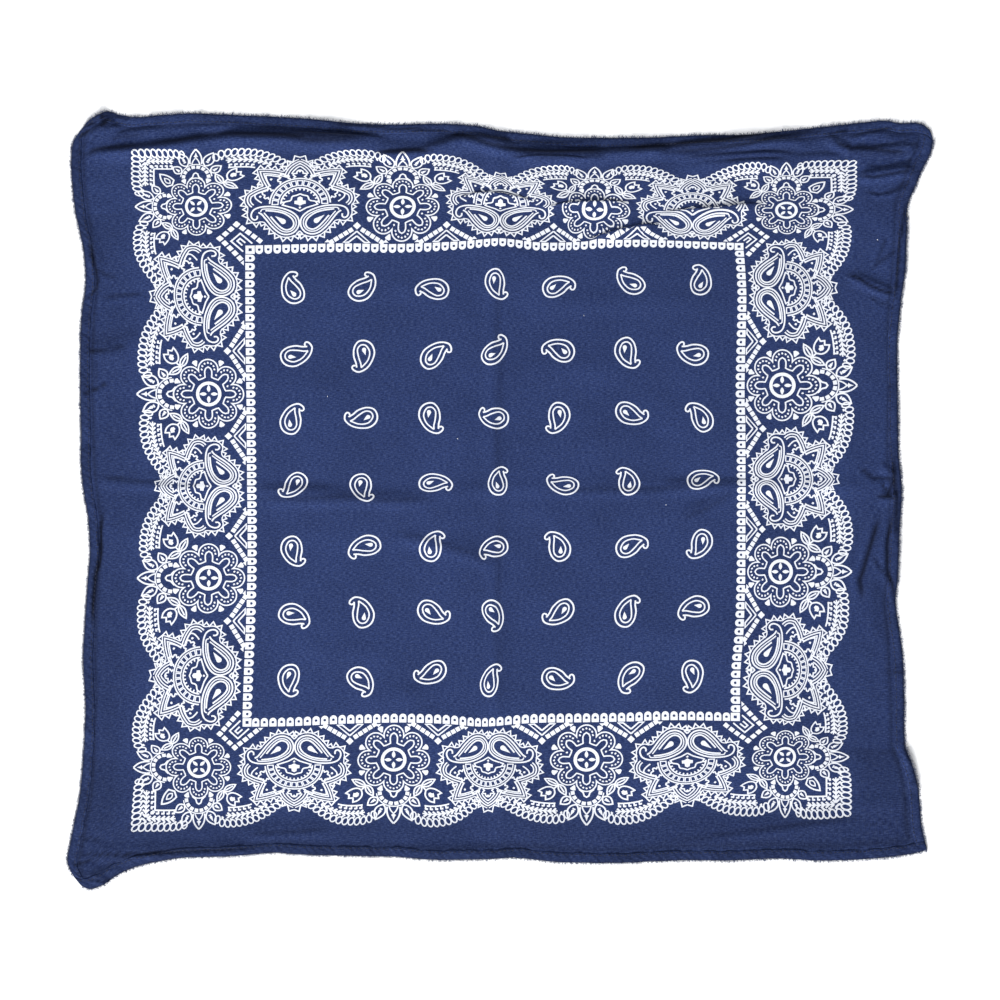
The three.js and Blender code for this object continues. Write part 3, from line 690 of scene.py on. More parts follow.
def buildCloth():
    u, v = clothGrid()
    rows, columns = u.shape
    under = clothSurface(u.ravel(), v.ravel()).reshape(rows, columns, 3)
    over = under + gridNormals(under) * clothSizes["thickness"] * mm
    flat = np.stack([u.ravel(), v.ravel()], axis=1)
    top = meshObject("clothTop", over.reshape(-1, 3), gridFaces(columns, rows))
    giveFlatMap(top, flat)
    # painted shade of the folds, pleats, margins and seams, for each point
    shade = foldShade(*flatToLaid(*flat.T)) * pleatShade(*flat.T)
    givePoints(top, "foldShade", shade)
    count = rows * columns
    faces = gridFaces(columns, rows) + gridFaces(columns, rows, count, flip=True)
    rim = [*range(columns - 1), *range(columns - 1, count - 1, columns), *range(count - 1, count - columns, -1)]
    rim += [*range(count - columns, 0, -columns)]
    faces += [(here, count + here, count + after, after) for here, after in zip(rim, rim[1:] + rim[:1])]
    cloth = meshObject("clothPanel", np.concatenate([over.reshape(-1, 3), under.reshape(-1, 3)]), faces)
    flat = np.concatenate([flat, flat])
    giveFlatMap(cloth, flat)
    givePoints(cloth, "foldShade", np.concatenate([shade, shade]))
    smoothShaded(cloth)
    smoothShaded(top)
    return cloth, top


clothPanel, clothTop = buildCloth()
print("bandana: the cloth has", len(clothPanel.data.polygons), "faces")

hemSizes = {
    "width": 6.6,
    "step": 1.6,
    "pucker": 0.17,
    "wander": 0.35,
    # painted shade: how dark each hem reads by side, and how much darker along its outer rim
    "paintedHemShade": {"top": 0.88, "bottom": 0.68, "left": 0.75, "right": 0.82},
    "rimShade": 0.34,
    "seed": 21,
}
# The hem in section: how far in from the cloth's edge, and how high.
hemSection = [
    (0, 0.62), (0.22, 0.2), (0.8, 0), (3.4, 0), (6.2, 0), (6.6, 0.35), (6.5, 0.85),
    (6, 1.08), (5.3, 1.02), (4.6, 1.2), (3.2, 1.28), (1.7, 1.26), (0.6, 1.1),
]


def baseLine(side, along, inward):
    s = layout
    if side in ("top", "bottom"):
        return along, (s["top"] - inward) if side == "top" else (s["bottom"] + inward)
    return (s["left"] + inward) if side == "left" else (s["right"] - inward), along


def buildHem(side):
    h, s = hemSizes, layout
    level = side in ("top", "bottom")
    start, end = (s["left"], s["right"]) if level else (s["bottom"] + h["width"], s["top"] - h["width"])
    alongs = np.linspace(start, end, round((end - start) / h["step"]) + 1)
    section = np.array(hemSection)
    along, inward = np.meshgrid(alongs, section[:, 0], indexing="ij")
    chance = h["seed"] + ["top", "bottom", "left", "right"].index(side)
    wave = softWaves(alongs, 0 * alongs, (5, 14), 1.0, chance)[:, None]
    slow = softWaves(alongs, 0 * alongs, (18, 60), 1.0, chance + 9)[:, None]
    x, y = laidPlace(*baseLine(side, along.ravel(), (inward + 0 * wave).ravel()))
    lift = laidLift(x, y).reshape(along.shape)
    high = section[None, :, 1]
    z = lift + high * (1 + h["pucker"] * wave * (high > 0.5))
    inwardShift = h["wander"] * 0.35 * wave * (section[None, :, 0] > 5) + h["wander"] * 0.3 * slow
    xs, ys = laidPlace(*baseLine(side, along.ravel(), (inward + np.maximum(inwardShift, -inward)).ravel()))
    moveX, moveY = s["middle"]
    points = np.stack([(xs + moveX) * mm, (ys + moveY) * mm, np.maximum(z.ravel(), 0) * mm], axis=1)
    rings, around = along.shape
    sides = [(k, (k + 1) % around) for k in range(around)]
    faces = [
        (ring + a, ring + a + around, ring + b + around, ring + b)
        for ring in range(0, (rings - 1) * around, around) for a, b in sides
    ]
    faces.append(tuple(range(around)))
    faces.append(tuple((rings - 1) * around + corner for corner in reversed(range(around))))
    if side in ("bottom", "right"):
        faces = [face[::-1] for face in faces]
    hem = meshObject("hem" + side.capitalize(), points, faces)
    flat = (along, inward) if level else (inward, along)
    giveFlatMap(hem, np.stack([part.ravel() for part in flat], axis=1))
    # painted shade of the folds, of each hem's side and of its outer rim, with a slow random change along it
    paintedHemShade = h["paintedHemShade"][side] * (1 + 0.07 * slow) * (1 - h["rimShade"] * np.exp(-((section[None, :, 0] / 1.4) ** 2)))
    givePoints(hem, "foldShade", foldShade(xs, ys) * (paintedHemShade + 0 * along).ravel())
    smoothShaded(hem)
    return hem, points.reshape(rings, around, 3)


hems, hemRings = {}, {}
for side in ("top", "bottom", "left", "right"):
    hems[side], hemRings[side] = buildHem(side)
print("bandana: four hems are turned")


def newMaterial(name):
    material = bpy.data.materials.new(name)
    material.use_nodes = True
    return material, material.node_tree, material.node_tree.nodes["Principled BSDF"]


def wired(tree, kind, sources=None, values=None, **settings):
    # a new node with its settings, its input values and what its inputs are linked to
    node = tree.nodes.new(kind)
    for name, value in settings.items():
        setattr(node, name, value)
    setInputs(node, values or {})
    for socket, source in (sources or {}).items():
        tree.links.new(source, node.inputs[socket])
    return node


def setInputs(node, values):
    for socket, value in values.items():
        node.inputs[socket].default_value = value


navyCotton = {
    "colour": (0.0172, 0.0310, 0.100, 1),
    "darkThread": (0.0060, 0.0135, 0.062, 1),
    "paleThread": (0.040, 0.061, 0.150, 1),
    "threadPitch": 0.42,  # millimetres
    "puckerPitch": 3.1,
    "roughness": 0.86,
    # how close together across and up, and for the clouds how detailed
    "weftSlubs": (420, 1500),
    "warpSlubs": (1500, 480),
    "clouds": (22, 22, 4),
    # how strong each grain of the surface is, and how deep in metres
    "weaveGrain": (0.35, 0.00012),
    "slubGrain": (0.5, 0.00025),
    "puckerGrain": (0.5, 0.0005),
}


def weaveNodes(tree, pitch):
    # the flat map, and the height of a plain weave on it
    place = wired(tree, "ShaderNodeUVMap", uv_map="flatCloth").outputs["UV"]
    values = {"Scale": 0.314 / (2 * pitch * mm), "Distortion": 1.2, "Detail": 1, "Detail Scale": 0.4}
    waves = [wired(tree, "ShaderNodeTexWave", {"Vector": place}, values, bands_direction=way) for way in ("X", "Y")]
    both = {k: wave.outputs["Fac"] for k, wave in enumerate(waves)}
    return place, wired(tree, "ShaderNodeMath", both, operation="MAXIMUM").outputs["Value"]


def slubNoise(tree, place, across, up, detail=3):
    stretch = wired(tree, "ShaderNodeMapping", {"Vector": place}, {"Scale": (across, up, 1)})
    noise = wired(tree, "ShaderNodeTexNoise", {"Vector": stretch.outputs["Vector"]}, {"Scale": 1, "Detail": detail})
    return noise.outputs["Fac"]


def ramp(tree, source, stops):
    node = wired(tree, "ShaderNodeValToRGB", {"Fac": source})
    while len(node.color_ramp.elements) < len(stops):
        node.color_ramp.elements.new(0.5)
    for element, (at, colour) in zip(node.color_ramp.elements, stops):
        element.position = at
        element.color = colour
    return node.outputs["Color"]


def grey(value):
    return (value, value, value, 1)


def multiplied(tree, first, second):
    sources = {"A": first, "B": second}
    mix = wired(tree, "ShaderNodeMix", sources, {"Factor": 1}, data_type="RGBA", blend_type="MULTIPLY")
    return mix.outputs["Result"]


def shadeOfFolds(tree):
    # the painted shade stored on the piece
    return wired(tree, "ShaderNodeAttribute", attribute_name="foldShade").outputs["Fac"]


def grained(tree, height, grain, below=None):
    # a bump on the shader's normal, over an earlier one
    sources = {"Height": height, "Normal": below} if below else {"Height": height}
    return wired(tree, "ShaderNodeBump", sources, dict(zip(("Strength", "Distance"), grain))).outputs["Normal"]


def makeNavyCotton(name, sewn):
    n = navyCotton
    material, tree, skin = newMaterial(name)
    place, weave = weaveNodes(tree, n["threadPitch"])
    weft, warp, cloud = (slubNoise(tree, place, *n[name]) for name in ("weftSlubs", "warpSlubs", "clouds"))
    colour = ramp(tree, weft, [(0.28, n["darkThread"]), (0.5, n["colour"]), (0.74, n["paleThread"])])
    # random tone along the warp and in clouds, then the painted shade that the cloth holds
    for shade in (
        ramp(tree, warp, [(0.3, grey(0.72)), (0.7, grey(1.24))]),
        ramp(tree, cloud, [(0.3, grey(0.9)), (0.7, grey(1.08))]),
        shadeOfFolds(tree),
    ):
        colour = multiplied(tree, colour, shade)
    normal = None
    if sewn:
        # the slanting puckers of a narrow sewn hem
        values = {"Scale": 0.314 / (n["puckerPitch"] * mm), "Distortion": 5, "Detail Scale": 0.7}
        pucker = wired(tree, "ShaderNodeTexWave", {"Vector": place}, values, bands_direction="DIAGONAL")
        normal = grained(tree, pucker.outputs["Fac"], n["puckerGrain"])
    normal = grained(tree, weave, n["weaveGrain"], normal)
    normal = grained(tree, weft, n["slubGrain"], normal)
    tree.links.new(colour, skin.inputs["Base Color"])
    tree.links.new(normal, skin.inputs["Normal"])
    setInputs(skin, {
        "Roughness": n["roughness"], "Sheen Weight": 0.05, "Sheen Roughness": 0.45, "Sheen Tint": (0.6, 0.68, 1, 1),
        "Specular IOR Level": 0.12,
    })
    return material


clothPanel.data.materials.append(makeNavyCotton("navyCotton", False))
hemMaterial = makeNavyCotton("navyHemCotton", True)
for piece in hems.values():
    piece.data.materials.append(hemMaterial)


def geometryTree(name, inputs, output):
    # a new tree, and the sockets of what it is given
    tree = bpy.data.node_groups.new(name, "GeometryNodeTree")
    for label, kind in inputs.items():
        tree.interface.new_socket(label, in_out="INPUT", socket_type="NodeSocket" + kind)
    tree.interface.new_socket(output, in_out="OUTPUT", socket_type="NodeSocketGeometry")
    return tree, tree.nodes.new("NodeGroupInput").outputs


def attribute(tree, name, kind):
    return wired(tree, "GeometryNodeInputNamedAttribute", values={"Name": name}, data_type=kind).outputs["Attribute"]


def finished(tree, geometry, material):
    # the end of a tree: real geometry in its material
    real = wired(tree, "GeometryNodeRealizeInstances", {"Geometry": geometry}).outputs["Geometry"]
    clad = wired(tree, "GeometryNodeSetMaterial", {"Geometry": real, "Material": material}).outputs["Geometry"]
    wired(tree, "NodeGroupOutput", {0: clad})
    return tree


def applied(name, work, tree, inputs):
    # what a tree makes of a working object, as a plain mesh
    modifier = work.modifiers.new(name, "NODES")
    modifier.node_group = tree
    for item in tree.interface.items_tree:
        if item.item_type == "SOCKET" and item.in_out == "INPUT" and item.name in inputs:
            modifier[item.identifier] = inputs[item.name]
    graph = bpy.context.evaluated_depsgraph_get()
    piece = sceneObject(name, bpy.data.meshes.new_from_object(work.evaluated_get(graph)))
    bpy.data.objects.remove(work)
    smoothShaded(piece)
    return piece


def scatterTree():
    # one small shape set on many places, each with its own turn and size
    tree, given = geometryTree("smallThings", {"Places": "Geometry", "Shape": "Object", "Thread": "Material"}, "Things")
    shape = wired(tree, "GeometryNodeObjectInfo", {"Object": given["Shape"]})
    rotation = wired(tree, "FunctionNodeEulerToRotation", {"Euler": attribute(tree, "turn", "FLOAT_VECTOR")})
    stamp = wired(tree, "GeometryNodeInstanceOnPoints", {
        "Points": given["Places"], "Instance": shape.outputs["Geometry"],
        "Rotation": rotation.outputs["Rotation"], "Scale": attribute(tree, "size", "FLOAT"),
    })
    return finished(tree, stamp.outputs["Instances"], given["Thread"])


def scattered(name, shape, spots, turns, sizes, tree, material):
    work = meshObject(name + "Places", np.asarray(spots), [])
    givePoints(work, "turn", turns, "FLOAT_VECTOR")
    givePoints(work, "size", sizes)
    piece = applied(name, work, tree, {"Shape": shape, "Thread": material})
    bpy.data.objects.remove(shape)
    print("bandana:", name, "has", len(piece.data.polygons), "faces")
    return piece


sewing = {
    "colour": (0.007, 0.012, 0.038, 1),
    "fibreColour": (0.036, 0.052, 0.120, 1),
    "lintColour": (0.75, 0.77, 0.80, 1),
    "stitchPitch": 2.9,
    "fibresPerMillimetre": {"top": 4.5, "bottom": 5.5, "left": 7.0, "right": 6.0},
    "seed": 31,
}


def threadMaterial(name, colour):
    material, tree, skin = newMaterial(name)
    place = wired(tree, "ShaderNodeTexCoord").outputs["Object"]
    noise = wired(tree, "ShaderNodeTexNoise", {"Vector": place}, {"Scale": 900}).outputs["Fac"]
    dark = [c * 0.7 for c in colour[:3]] + [1]
    tree.links.new(ramp(tree, noise, [(0.3, dark), (0.7, colour)]), skin.inputs["Base Color"])
    setInputs(skin, {"Roughness": 0.8})
    return material


def alongRing(side, corner, pitch):
    # even places along one line of a hem, with the direction of the line
    line = hemRings[side][:, corner]
    length = np.concatenate([[0], np.cumsum(np.linalg.norm(np.diff(line, axis=0), axis=1))])
    at = np.arange(pitch * 0.5, length[-1], pitch)
    spots = np.stack([np.interp(at, length, line[:, axis]) for axis in range(3)], axis=1)
    ahead = np.stack([np.interp(at, length, np.gradient(line[:, axis])) for axis in range(3)], axis=1)
    return spots, ahead / np.linalg.norm(ahead, axis=1, keepdims=True)


def sewHems(tree):
    chance = np.random.default_rng(sewing["seed"])
    spots, turns = [], []
    for side in hems:
        places, ahead = alongRing(side, 8, sewing["stitchPitch"] * mm)
        spots.append(places + chance.normal(0, 0.00007, places.shape))
        heading = np.arctan2(ahead[:, 1], ahead[:, 0]) + chance.normal(0, 0.05, len(ahead))
        turns.append(np.stack([0 * heading, -np.arcsin(ahead[:, 2]), heading], axis=1))
    spots, turns = np.concatenate(spots), np.concatenate(turns)
    rings = [(-1.05, 0.1, -0.12), (-0.75, 0.26, 0.16), (0.0, 0.3, 0.26), (0.75, 0.26, 0.16), (1.05, 0.1, -0.12)]
    points = [
        point for x, half, high in rings
        for point in ((x, half, -0.15), (x, half * 0.6, high), (x, -half * 0.6, high), (x, -half, -0.15))
    ]
    faces = [(a + k, a + k + 4, a + k + 5, a + k + 1) for a in range(0, 16, 4) for k in range(3)]
    stitch = meshObject("stitchShape", np.array(points) * mm, [face[::-1] for face in faces])
    sizes = chance.uniform(0.9, 1.12, len(spots))
    return scattered("hemStitching", stitch, spots, turns, sizes, tree, threadMaterial("navyThread", sewing["colour"]))


def ribbon(name, places):
    # a narrow strip in millimetres: x, y, z and half the width at each place
    points = [(x, y + side * half, z) for x, y, z, half in places for side in (1, -1)]
    faces = [(a, a + 1, a + 3, a + 2) for a in range(0, 2 * len(places) - 2, 2)]
    return meshObject(name, np.array(points) * mm, faces)


def edgeFibres(tree):
    chance = np.random.default_rng(sewing["seed"] + 1)
    outward = {"top": math.pi / 2, "bottom": -math.pi / 2, "left": math.pi, "right": 0.0}
    spots, turns, sizes = [], [], []
    for side, dense in sewing["fibresPerMillimetre"].items():
        places, ahead = alongRing(side, 0, mm / dense)
        count = len(places)
        heading = np.arctan2(ahead[:, 1], ahead[:, 0]) + math.pi / 2
        away = np.cos(heading - outward[side]) < 0
        heading = heading + np.where(away, math.pi, 0) + chance.normal(0, 0.75, count)
        spots.append(places + np.stack([0 * heading, 0 * heading, chance.uniform(-0.0002, 0.0006, count)], axis=1))
        turns.append(np.stack([chance.uniform(0, 6.28, count), chance.normal(-0.15, 0.3, count), heading], axis=1))
        sizes.append(chance.uniform(0.65, 1.55, count) ** 1.8)
    spots, turns, sizes = map(np.concatenate, (spots, turns, sizes))
    places = [(0, 0, 0, 0.1), (0.34, 0.05, 0.06, 0.09), (0.7, 0.02, 0.1, 0.07), (1, -0.1, 0.08, 0.035)]
    fibre, loose = ribbon("fibreShape", places), threadMaterial("looseFibre", sewing["fibreColour"])
    return scattered("edgeFibres", fibre, spots, turns, sizes, tree, loose)


def lintSpecks(tree):
    chance = np.random.default_rng(sewing["seed"] + 2)
    flat = np.array([(-29, 33), (-54, -97), (265, 178), (118, -22), (-212, -236), (61, 119), (-118, 66)], float)
    spots = clothSurface(flat[:, 0], flat[:, 1]) + [0, 0, (clothSizes["thickness"] + 0.1) * mm]
    turns = np.stack([0 * flat[:, 0], 0 * flat[:, 0], chance.uniform(0, 6.28, len(flat))], axis=1)
    sizes = chance.uniform(0.8, 1.4, len(flat))
    speck = ribbon("speckShape", [(0, 0, 0, 0.16), (0.4, 0.1, 0.1, 0.2), (0.8, -0.05, 0.05, 0.12)])
    return scattered("lintSpecks", speck, spots, turns, sizes, tree, threadMaterial("paleLint", sewing["lintColour"]))


smallTree = scatterTree()
sewn = [sewHems(smallTree), edgeFibres(smallTree), lintSpecks(smallTree)]

# The print is drawn flat, in units of 0.69 mm: x runs along a side of the frame, y outward from it.
printUnit = 0.69


def arc(x, y, radius, start, end, step=1.7):
    count = max(4, math.ceil(abs(math.radians(end - start)) * radius / step) + 1)
    turn = np.radians(np.linspace(start, end, count))
    return np.stack([x + radius * np.cos(turn), y + radius * np.sin(turn)], axis=1)


def curve(points, closed=False, step=1.7):
    # an even curve through the points
    points = np.asarray(points, float)
    count = len(points)
    if closed:
        padded = np.concatenate([points[-1:], points, points[:2]])
        spans = count
    else:
        padded = np.concatenate([2 * points[:1] - points[1:2], points, 2 * points[-1:] - points[-2:-1]])
        spans = count - 1
    line = []
    for span in range(spans):
        a, b, c, d = padded[span:span + 4]
        pieces = max(1, math.ceil(np.linalg.norm(c - b) / step))
        for t in np.arange(pieces) / pieces:
            line.append(0.5 * (2 * b + (c - a) * t + (2 * a - 5 * b + 4 * c - d) * t**2 + (3 * b - a - 3 * c + d) * t**3))
    if not closed:
        line.append(points[-1])
    return np.array(line)


def bulged(start, end, bulge, step=1.7):
    # from one place to another, swelling to the left by the bulge
    start, end = np.array(start, float), np.array(end, float)
    along = end - start
    side = np.array([-along[1], along[0]]) / np.linalg.norm(along)
    t = np.linspace(0, 1, max(3, math.ceil(np.linalg.norm(along) / step) + 1))[:, None]
    return start + along * t + side * bulge * 4 * t * (1 - t)


def joined(*lines):
    return np.concatenate([line if i == 0 else line[1:] for i, line in enumerate(lines)])


def alongNormals(points, closed):
    before, after = np.roll(points, 1, axis=0), np.roll(points, -1, axis=0)
    if not closed:
        before[0], after[-1] = 2 * points[0] - points[1], 2 * points[-1] - points[-2]
    into, out = points - before, after - points
    into /= np.maximum(np.linalg.norm(into, axis=1, keepdims=True), 1e-9)
    out /= np.maximum(np.linalg.norm(out, axis=1, keepdims=True), 1e-9)
    normalIn = np.stack([-into[:, 1], into[:, 0]], axis=1)
    normal = normalIn + np.stack([-out[:, 1], out[:, 0]], axis=1)
    normal /= np.maximum(np.linalg.norm(normal, axis=1, keepdims=True), 1e-9)
    return normal / np.maximum((normal * normalIn).sum(axis=1, keepdims=True), 0.6)


def stroke(points, width, closed=False):
    # a printed line of even width, as a row of four-sided pieces
    points = np.asarray(points, float)
    normal = alongNormals(points, closed) * width / 2
    left, right = points + normal, points - normal
    count = len(points)
    return [
        np.array([left[i], left[(i + 1) % count], right[(i + 1) % count], right[i]])
        for i in range(count if closed else count - 1)
    ]


def offsetLine(points, distance, closed=False):
    # the line moved to its left, without what comes too near the first one
    points = np.asarray(points, float)
    moved = points + alongNormals(points, closed) * distance
    away = np.linalg.norm(moved[:, None] - points[None], axis=2).min(axis=1)
    return moved[away > abs(distance) * 0.96]


def evenly(points, pitch, closed=False):
    points = np.asarray(points, float)
    if closed:
        points = np.concatenate([points, points[:1]])
    length = np.concatenate([[0], np.cumsum(np.linalg.norm(np.diff(points, axis=0), axis=1))])
    count = max(2, round(length[-1] / pitch))
    at = np.linspace(0, length[-1], count + 1)
    if closed:
        at = at[:-1]
    return np.stack([np.interp(at, length, points[:, 0]), np.interp(at, length, points[:, 1])], axis=1)


def placed(shapes, x=0.0, y=0.0, turn=0.0, mirror=False):
    c, s = math.cos(math.radians(turn)), math.sin(math.radians(turn))
    moved = []
    for shape in shapes:
        shape = np.array(shape, float)
        if mirror:
            shape = shape[::-1] * [-1, 1]
        moved.append(np.stack([shape[:, 0] * c - shape[:, 1] * s + x, shape[:, 0] * s + shape[:, 1] * c + y], axis=1))
    return moved


def bothSides(shapes):
    return shapes + placed(shapes, mirror=True)


def leaf(x, y, length, width, heading, step=1.9):
    # a pointed leaf from its stalk end
    t = np.linspace(0, 1, max(5, math.ceil(length / step) + 1))
    half = width / 2 * np.sin(np.pi * t**0.85) ** 0.9
    side = np.concatenate([np.stack([t * length, half], 1), np.stack([t * length, -half], 1)[-2:0:-1]])
    return placed([side], x, y, heading)[0]


def drop(x, y, length, width, heading):
    # a solid drop, round at its start and pointed at its end
    r = width / 2
    line = joined(arc(0, 0, r, 70, 290, 1.2), np.array([[r * math.cos(5.06), r * math.sin(5.06)], [length - r, 0]]))
    return placed([line], x, y, heading)[0]


def disc(x, y, diameter, sides=6):
    return arc(x, y, diameter / 2, 0, 360 - 360 / sides, math.pi * diameter / sides * 0.999)[:sides]


rosetteSizes = {
    "ringRadius": 11.3, "ringWidth": 3.3, "petalCentre": 25.85, "petalRadius": 9.95,
    "line": 1.4, "dot": 2.3, "leafLength": 7.6, "leafWidth": 3.6,
}


def drawRosette(leafTurn):
    r = rosetteSizes
    shapes = stroke(arc(0, 0, r["ringRadius"], 0, 348, 2.4), r["ringWidth"], closed=True)
    for k in range(4):
        shapes.append(placed([leaf(2, 0, r["leafLength"], r["leafWidth"], 0, 1.5)], turn=90 * k + leafTurn)[0])
    petal = arc(r["petalCentre"], 0, r["petalRadius"], -106.6, 106.6, 1.9)
    finger = [(16.4, -5), (17.4, -3.3), (20.4, -3.6), (23.6, -3.6), (26.4, -2.5), (28, 0)]
    finger = np.array(finger + [(x, -y) for x, y in finger[-2::-1]])
    outer, inner = [], []
    for k in range(8):
        outer += list(placed([petal], turn=45 * k)[0][:-1])
        inner += list(placed([finger], turn=45 * k)[0])
        for turn in (-93, -62, -31, 0, 31, 62, 93):
            at = arc(r["petalCentre"], 0, 6.5, turn, turn + 1)[0]
            shapes += placed([disc(at[0], at[1], r["dot"])], turn=45 * k)
        shapes += placed([disc(21.1, 0, r["dot"])], turn=45 * k + 22.5)
        wedge = [(31, -0.6), (35.8, -3.1), (37.2, -1.6), (37.2, 1.6), (35.8, 3.1), (31, 0.6)]
        shapes += placed([wedge], turn=45 * k + 22.5)
    shapes += stroke(outer, r["line"], closed=True)
    shapes += stroke(inner, r["line"], closed=True)
    return shapes


def drawCrown():
    # an arch of blocks over the rosette, with five pointed petals on it
    shapes = stroke([(-7.5, 33.4), (-3.4, 37), (-2.3, 40.9), (0, 42.4), (2.3, 40.9), (3.4, 37), (7.5, 33.4)], 1.6)
    for k in range(8):
        block = [(12, -1.95), (15.8, -2.2), (15.8, 2.2), (12, 1.95)]
        shapes += placed([block], 0, 35.6, 8.1 + 23.4 * k)
    shapes += stroke(arc(0, 35.6, 17.2, 6, 174, 2.2), 1.2)
    half = stroke(bulged((6.4, 53.2), (0, 71), -2.6), 1.7) + stroke(bulged((4.4, 52.8), (0, 60.6), -0.8), 1.4)
    for x, y, length, width, heading in ((10, 50.6, 17.6, 10.6, 62), (16, 42.6, 12.4, 8.8, 36)):
        half += stroke(leaf(x, y, length, width, heading), 1.6, closed=True)
        half += placed([drop(0.44 * length, 0, 0.42 * length, 0.30 * width, 0)], x, y, heading)
        half += placed(stroke([(0.3 * length, -1.6), (0.3 * length, 1.6)], 1.5), x, y, heading)
    half.append(np.array([(0, 60.8), (2.6, 62.2), (1.3, 63.6), (0, 67.4)]))
    return shapes + bothSides(half)


def drawSprig():
    # two leaves and a small tulip, to the right of a crown
    shapes = []
    for x, y, length, heading in ((28.2, 28.2, 15.2, -29), (27.4, 27.6, 14, 119)):
        outline = leaf(x, y, length, 6.6, heading)
        shapes += stroke(outline, 1.6, closed=True)
        shapes += stroke(placed([[(2, 0), (length - 3.4, 0)]], x, y, heading)[0], 1.6)
    shapes += stroke([(28, 28), (32.2, 32.4)], 1.6)
    cup = curve([(32.4, 32.6), (35.6, 30.6), (40.2, 30.8), (44.6, 33), (48, 35.6)])
    mouth = np.array([(48, 35.6), (44.6, 37.2), (45.2, 41.2), (40.8, 41), (40.8, 45.6)], float)
    back = curve([(40.8, 45.6), (36.6, 44.4), (33.2, 41.4), (31.6, 37.4), (32.4, 32.6)])
    shapes += stroke(joined(cup, mouth, back)[:-1], 1.6, closed=True)
    shapes.append(np.array([
        (34.6, 36.4), (36.6, 34.8), (38.6, 36), (40.2, 35.4), (41, 39.4), (37.6, 40.4), (35.4, 39.2),
    ]))
    return shapes


def drawSwag(outer, loopsTo, featherTo, hooksTo, start=0.0):
    # three rows along the outer line: looped chain, feather and hooks with an edge line
    outer = evenly(outer, 0.7)

    def row(depth, until, pitch, skipped=0.0):
        line = outer + alongNormals(outer, False) * -depth
        line = line[round(len(line) * skipped): max(2, round(len(line) * until))]
        return evenly(line, pitch)

    shapes = []
    middle = row(4.5, loopsTo, 6.1)
    normal = alongNormals(middle, False)
    for i in range(len(middle)):
        out = normal[i] / np.linalg.norm(normal[i])
        side = np.array([out[1], -out[0]])
        long, wide = out * 3.9 + side * 0.8, side * 2.75
        loop = [middle[i] + long * math.cos(a) + wide * math.sin(a) for a in np.linspace(0, 2 * math.pi, 13)[:-1]]
        shapes += stroke(loop, 1.35, closed=True)
        low = middle[i] - out * 4.9 + side * 3.05
        shapes.append(disc(low[0], low[1], 2.7))
    spine = row(12.9, featherTo, 4.7, start)
    shapes += stroke(spine, 1.4)
    normal = alongNormals(spine, False)
    for i in range(1, len(spine)):
        ahead = spine[i] - spine[i - 1]
        for side in (1, -1):
            shapes += stroke([spine[i], spine[i] - ahead * 0.7 + normal[i] * side * 2.8], 1.9)
    edge = row(21.4, hooksTo, 2.6, start)
    shapes += stroke(edge, 1.6)
    hooks = row(21.4, hooksTo, 4.9, start)
    normal = alongNormals(hooks, False)
    for i in range(len(hooks) - 1):
        ahead = (hooks[i + 1] - hooks[i]) / np.linalg.norm(hooks[i + 1] - hooks[i])
        rise = hooks[i] + ahead * 1.2 + normal[i] * 3.9
        shapes += stroke([hooks[i] + ahead * 1.2, rise], 1.5)
        low, high, ahead = rise - normal[i] * 1.6, normal[i] * 0.3, ahead * 2.5
        shapes.append(np.array([low, low + ahead, rise + ahead + high, rise + high]))
    return shapes


swagOuter = [
    (17, 64.6), (23.5, 69.4), (32.5, 71), (46, 70.8), (58, 69.2), (68.7, 65.8), (78.2, 60.8), (90, 52.4),
]
cornerScale = 0.91  # the corner rosettes are smaller than those of the sides


def drawSideRosette():
    half = drawSprig() + drawSwag(curve(swagOuter), 1, 0.84, 0.6, 0.13)
    return drawRosette(0) + drawCrown() + bothSides(half)


def scaled(shapes, across, up):
    return [np.array(shape, float) * [across, up] for shape in shapes]


def swapped(shapes):
    return [np.array(shape, float)[::-1, ::-1] for shape in shapes]


def drawCornerRosette():
    # the rosette of the upper right corner, its two crowns pointing up and to the right
    s = cornerScale
    swag = drawSwag(curve(np.array(swagOuter) * [0.965, s]), 1, 0.84, 0.6, 0.13)
    half = scaled(drawCrown(), s, s) + placed(scaled(drawSprig(), s, s) + swag, mirror=True)
    corner = joined(
        np.array([(14, 63.4), (22, 64.8), (60, 64.8)]), arc(60, 60, 4.8, 90, 45, 1.2),
    )
    swag = drawSwag(corner, 1, 1, 1, 0.2)
    cornerHalf = [shape for shape in swag if shape[:, 1].mean() > shape[:, 0].mean() - 0.4]
    shapes = scaled(drawRosette(45), s, s) + half + swapped(half) + cornerHalf + swapped(cornerHalf)
    side = joined(np.array([(24.6, 24.6), (30.4, 22.8)]), bulged((30.4, 22.8), (37.2, 37.2), -1.6))
    shapes += stroke(joined(side, side[::-1, ::-1])[:-1], 1.6, closed=True)
    shapes += stroke(leaf(26.8, 26.8, 8, 4.4, 45), 1.2, closed=True)
    return shapes


def drawCloud(width, height, line):
    # a small trefoil that stands on its base
    half = [(0.5, 0), (0.34, 0.16), (0.5, 0.36), (0.44, 0.56), (0.24, 0.58), (0.22, 0.82), (0, 1)]
    points = [(x * width, y * height) for x, y in half]
    return stroke(curve(points + [(-x, y) for x, y in points[-2::-1]], step=1.5), line)


lotusPaisley = [
    (-41.4, 9), (-41.4, 6.2), (-43.6, 4.6), (-46.4, 6.2), (-47.2, 10.4), (-44.6, 15.4), (-38, 18), (-28, 18.2),
    (-18.5, 16.4), (-9, 12.2), (-3.2, 7.4), (-0.9, 2.2), (-1.4, -4), (-5.2, -9.4), (-11, -11.8), (-17.4, -11),
    (-23, -7.2), (-28.2, -1.6), (-33, 5), (-37, 10.2), (-40.2, 12.4),
]


def scallops(tips, bulges, step=1.7):
    # one bulge from each place to the next
    return joined(*[bulged(start, end, bulge, step) for start, end, bulge in zip(tips, tips[1:], bulges)])


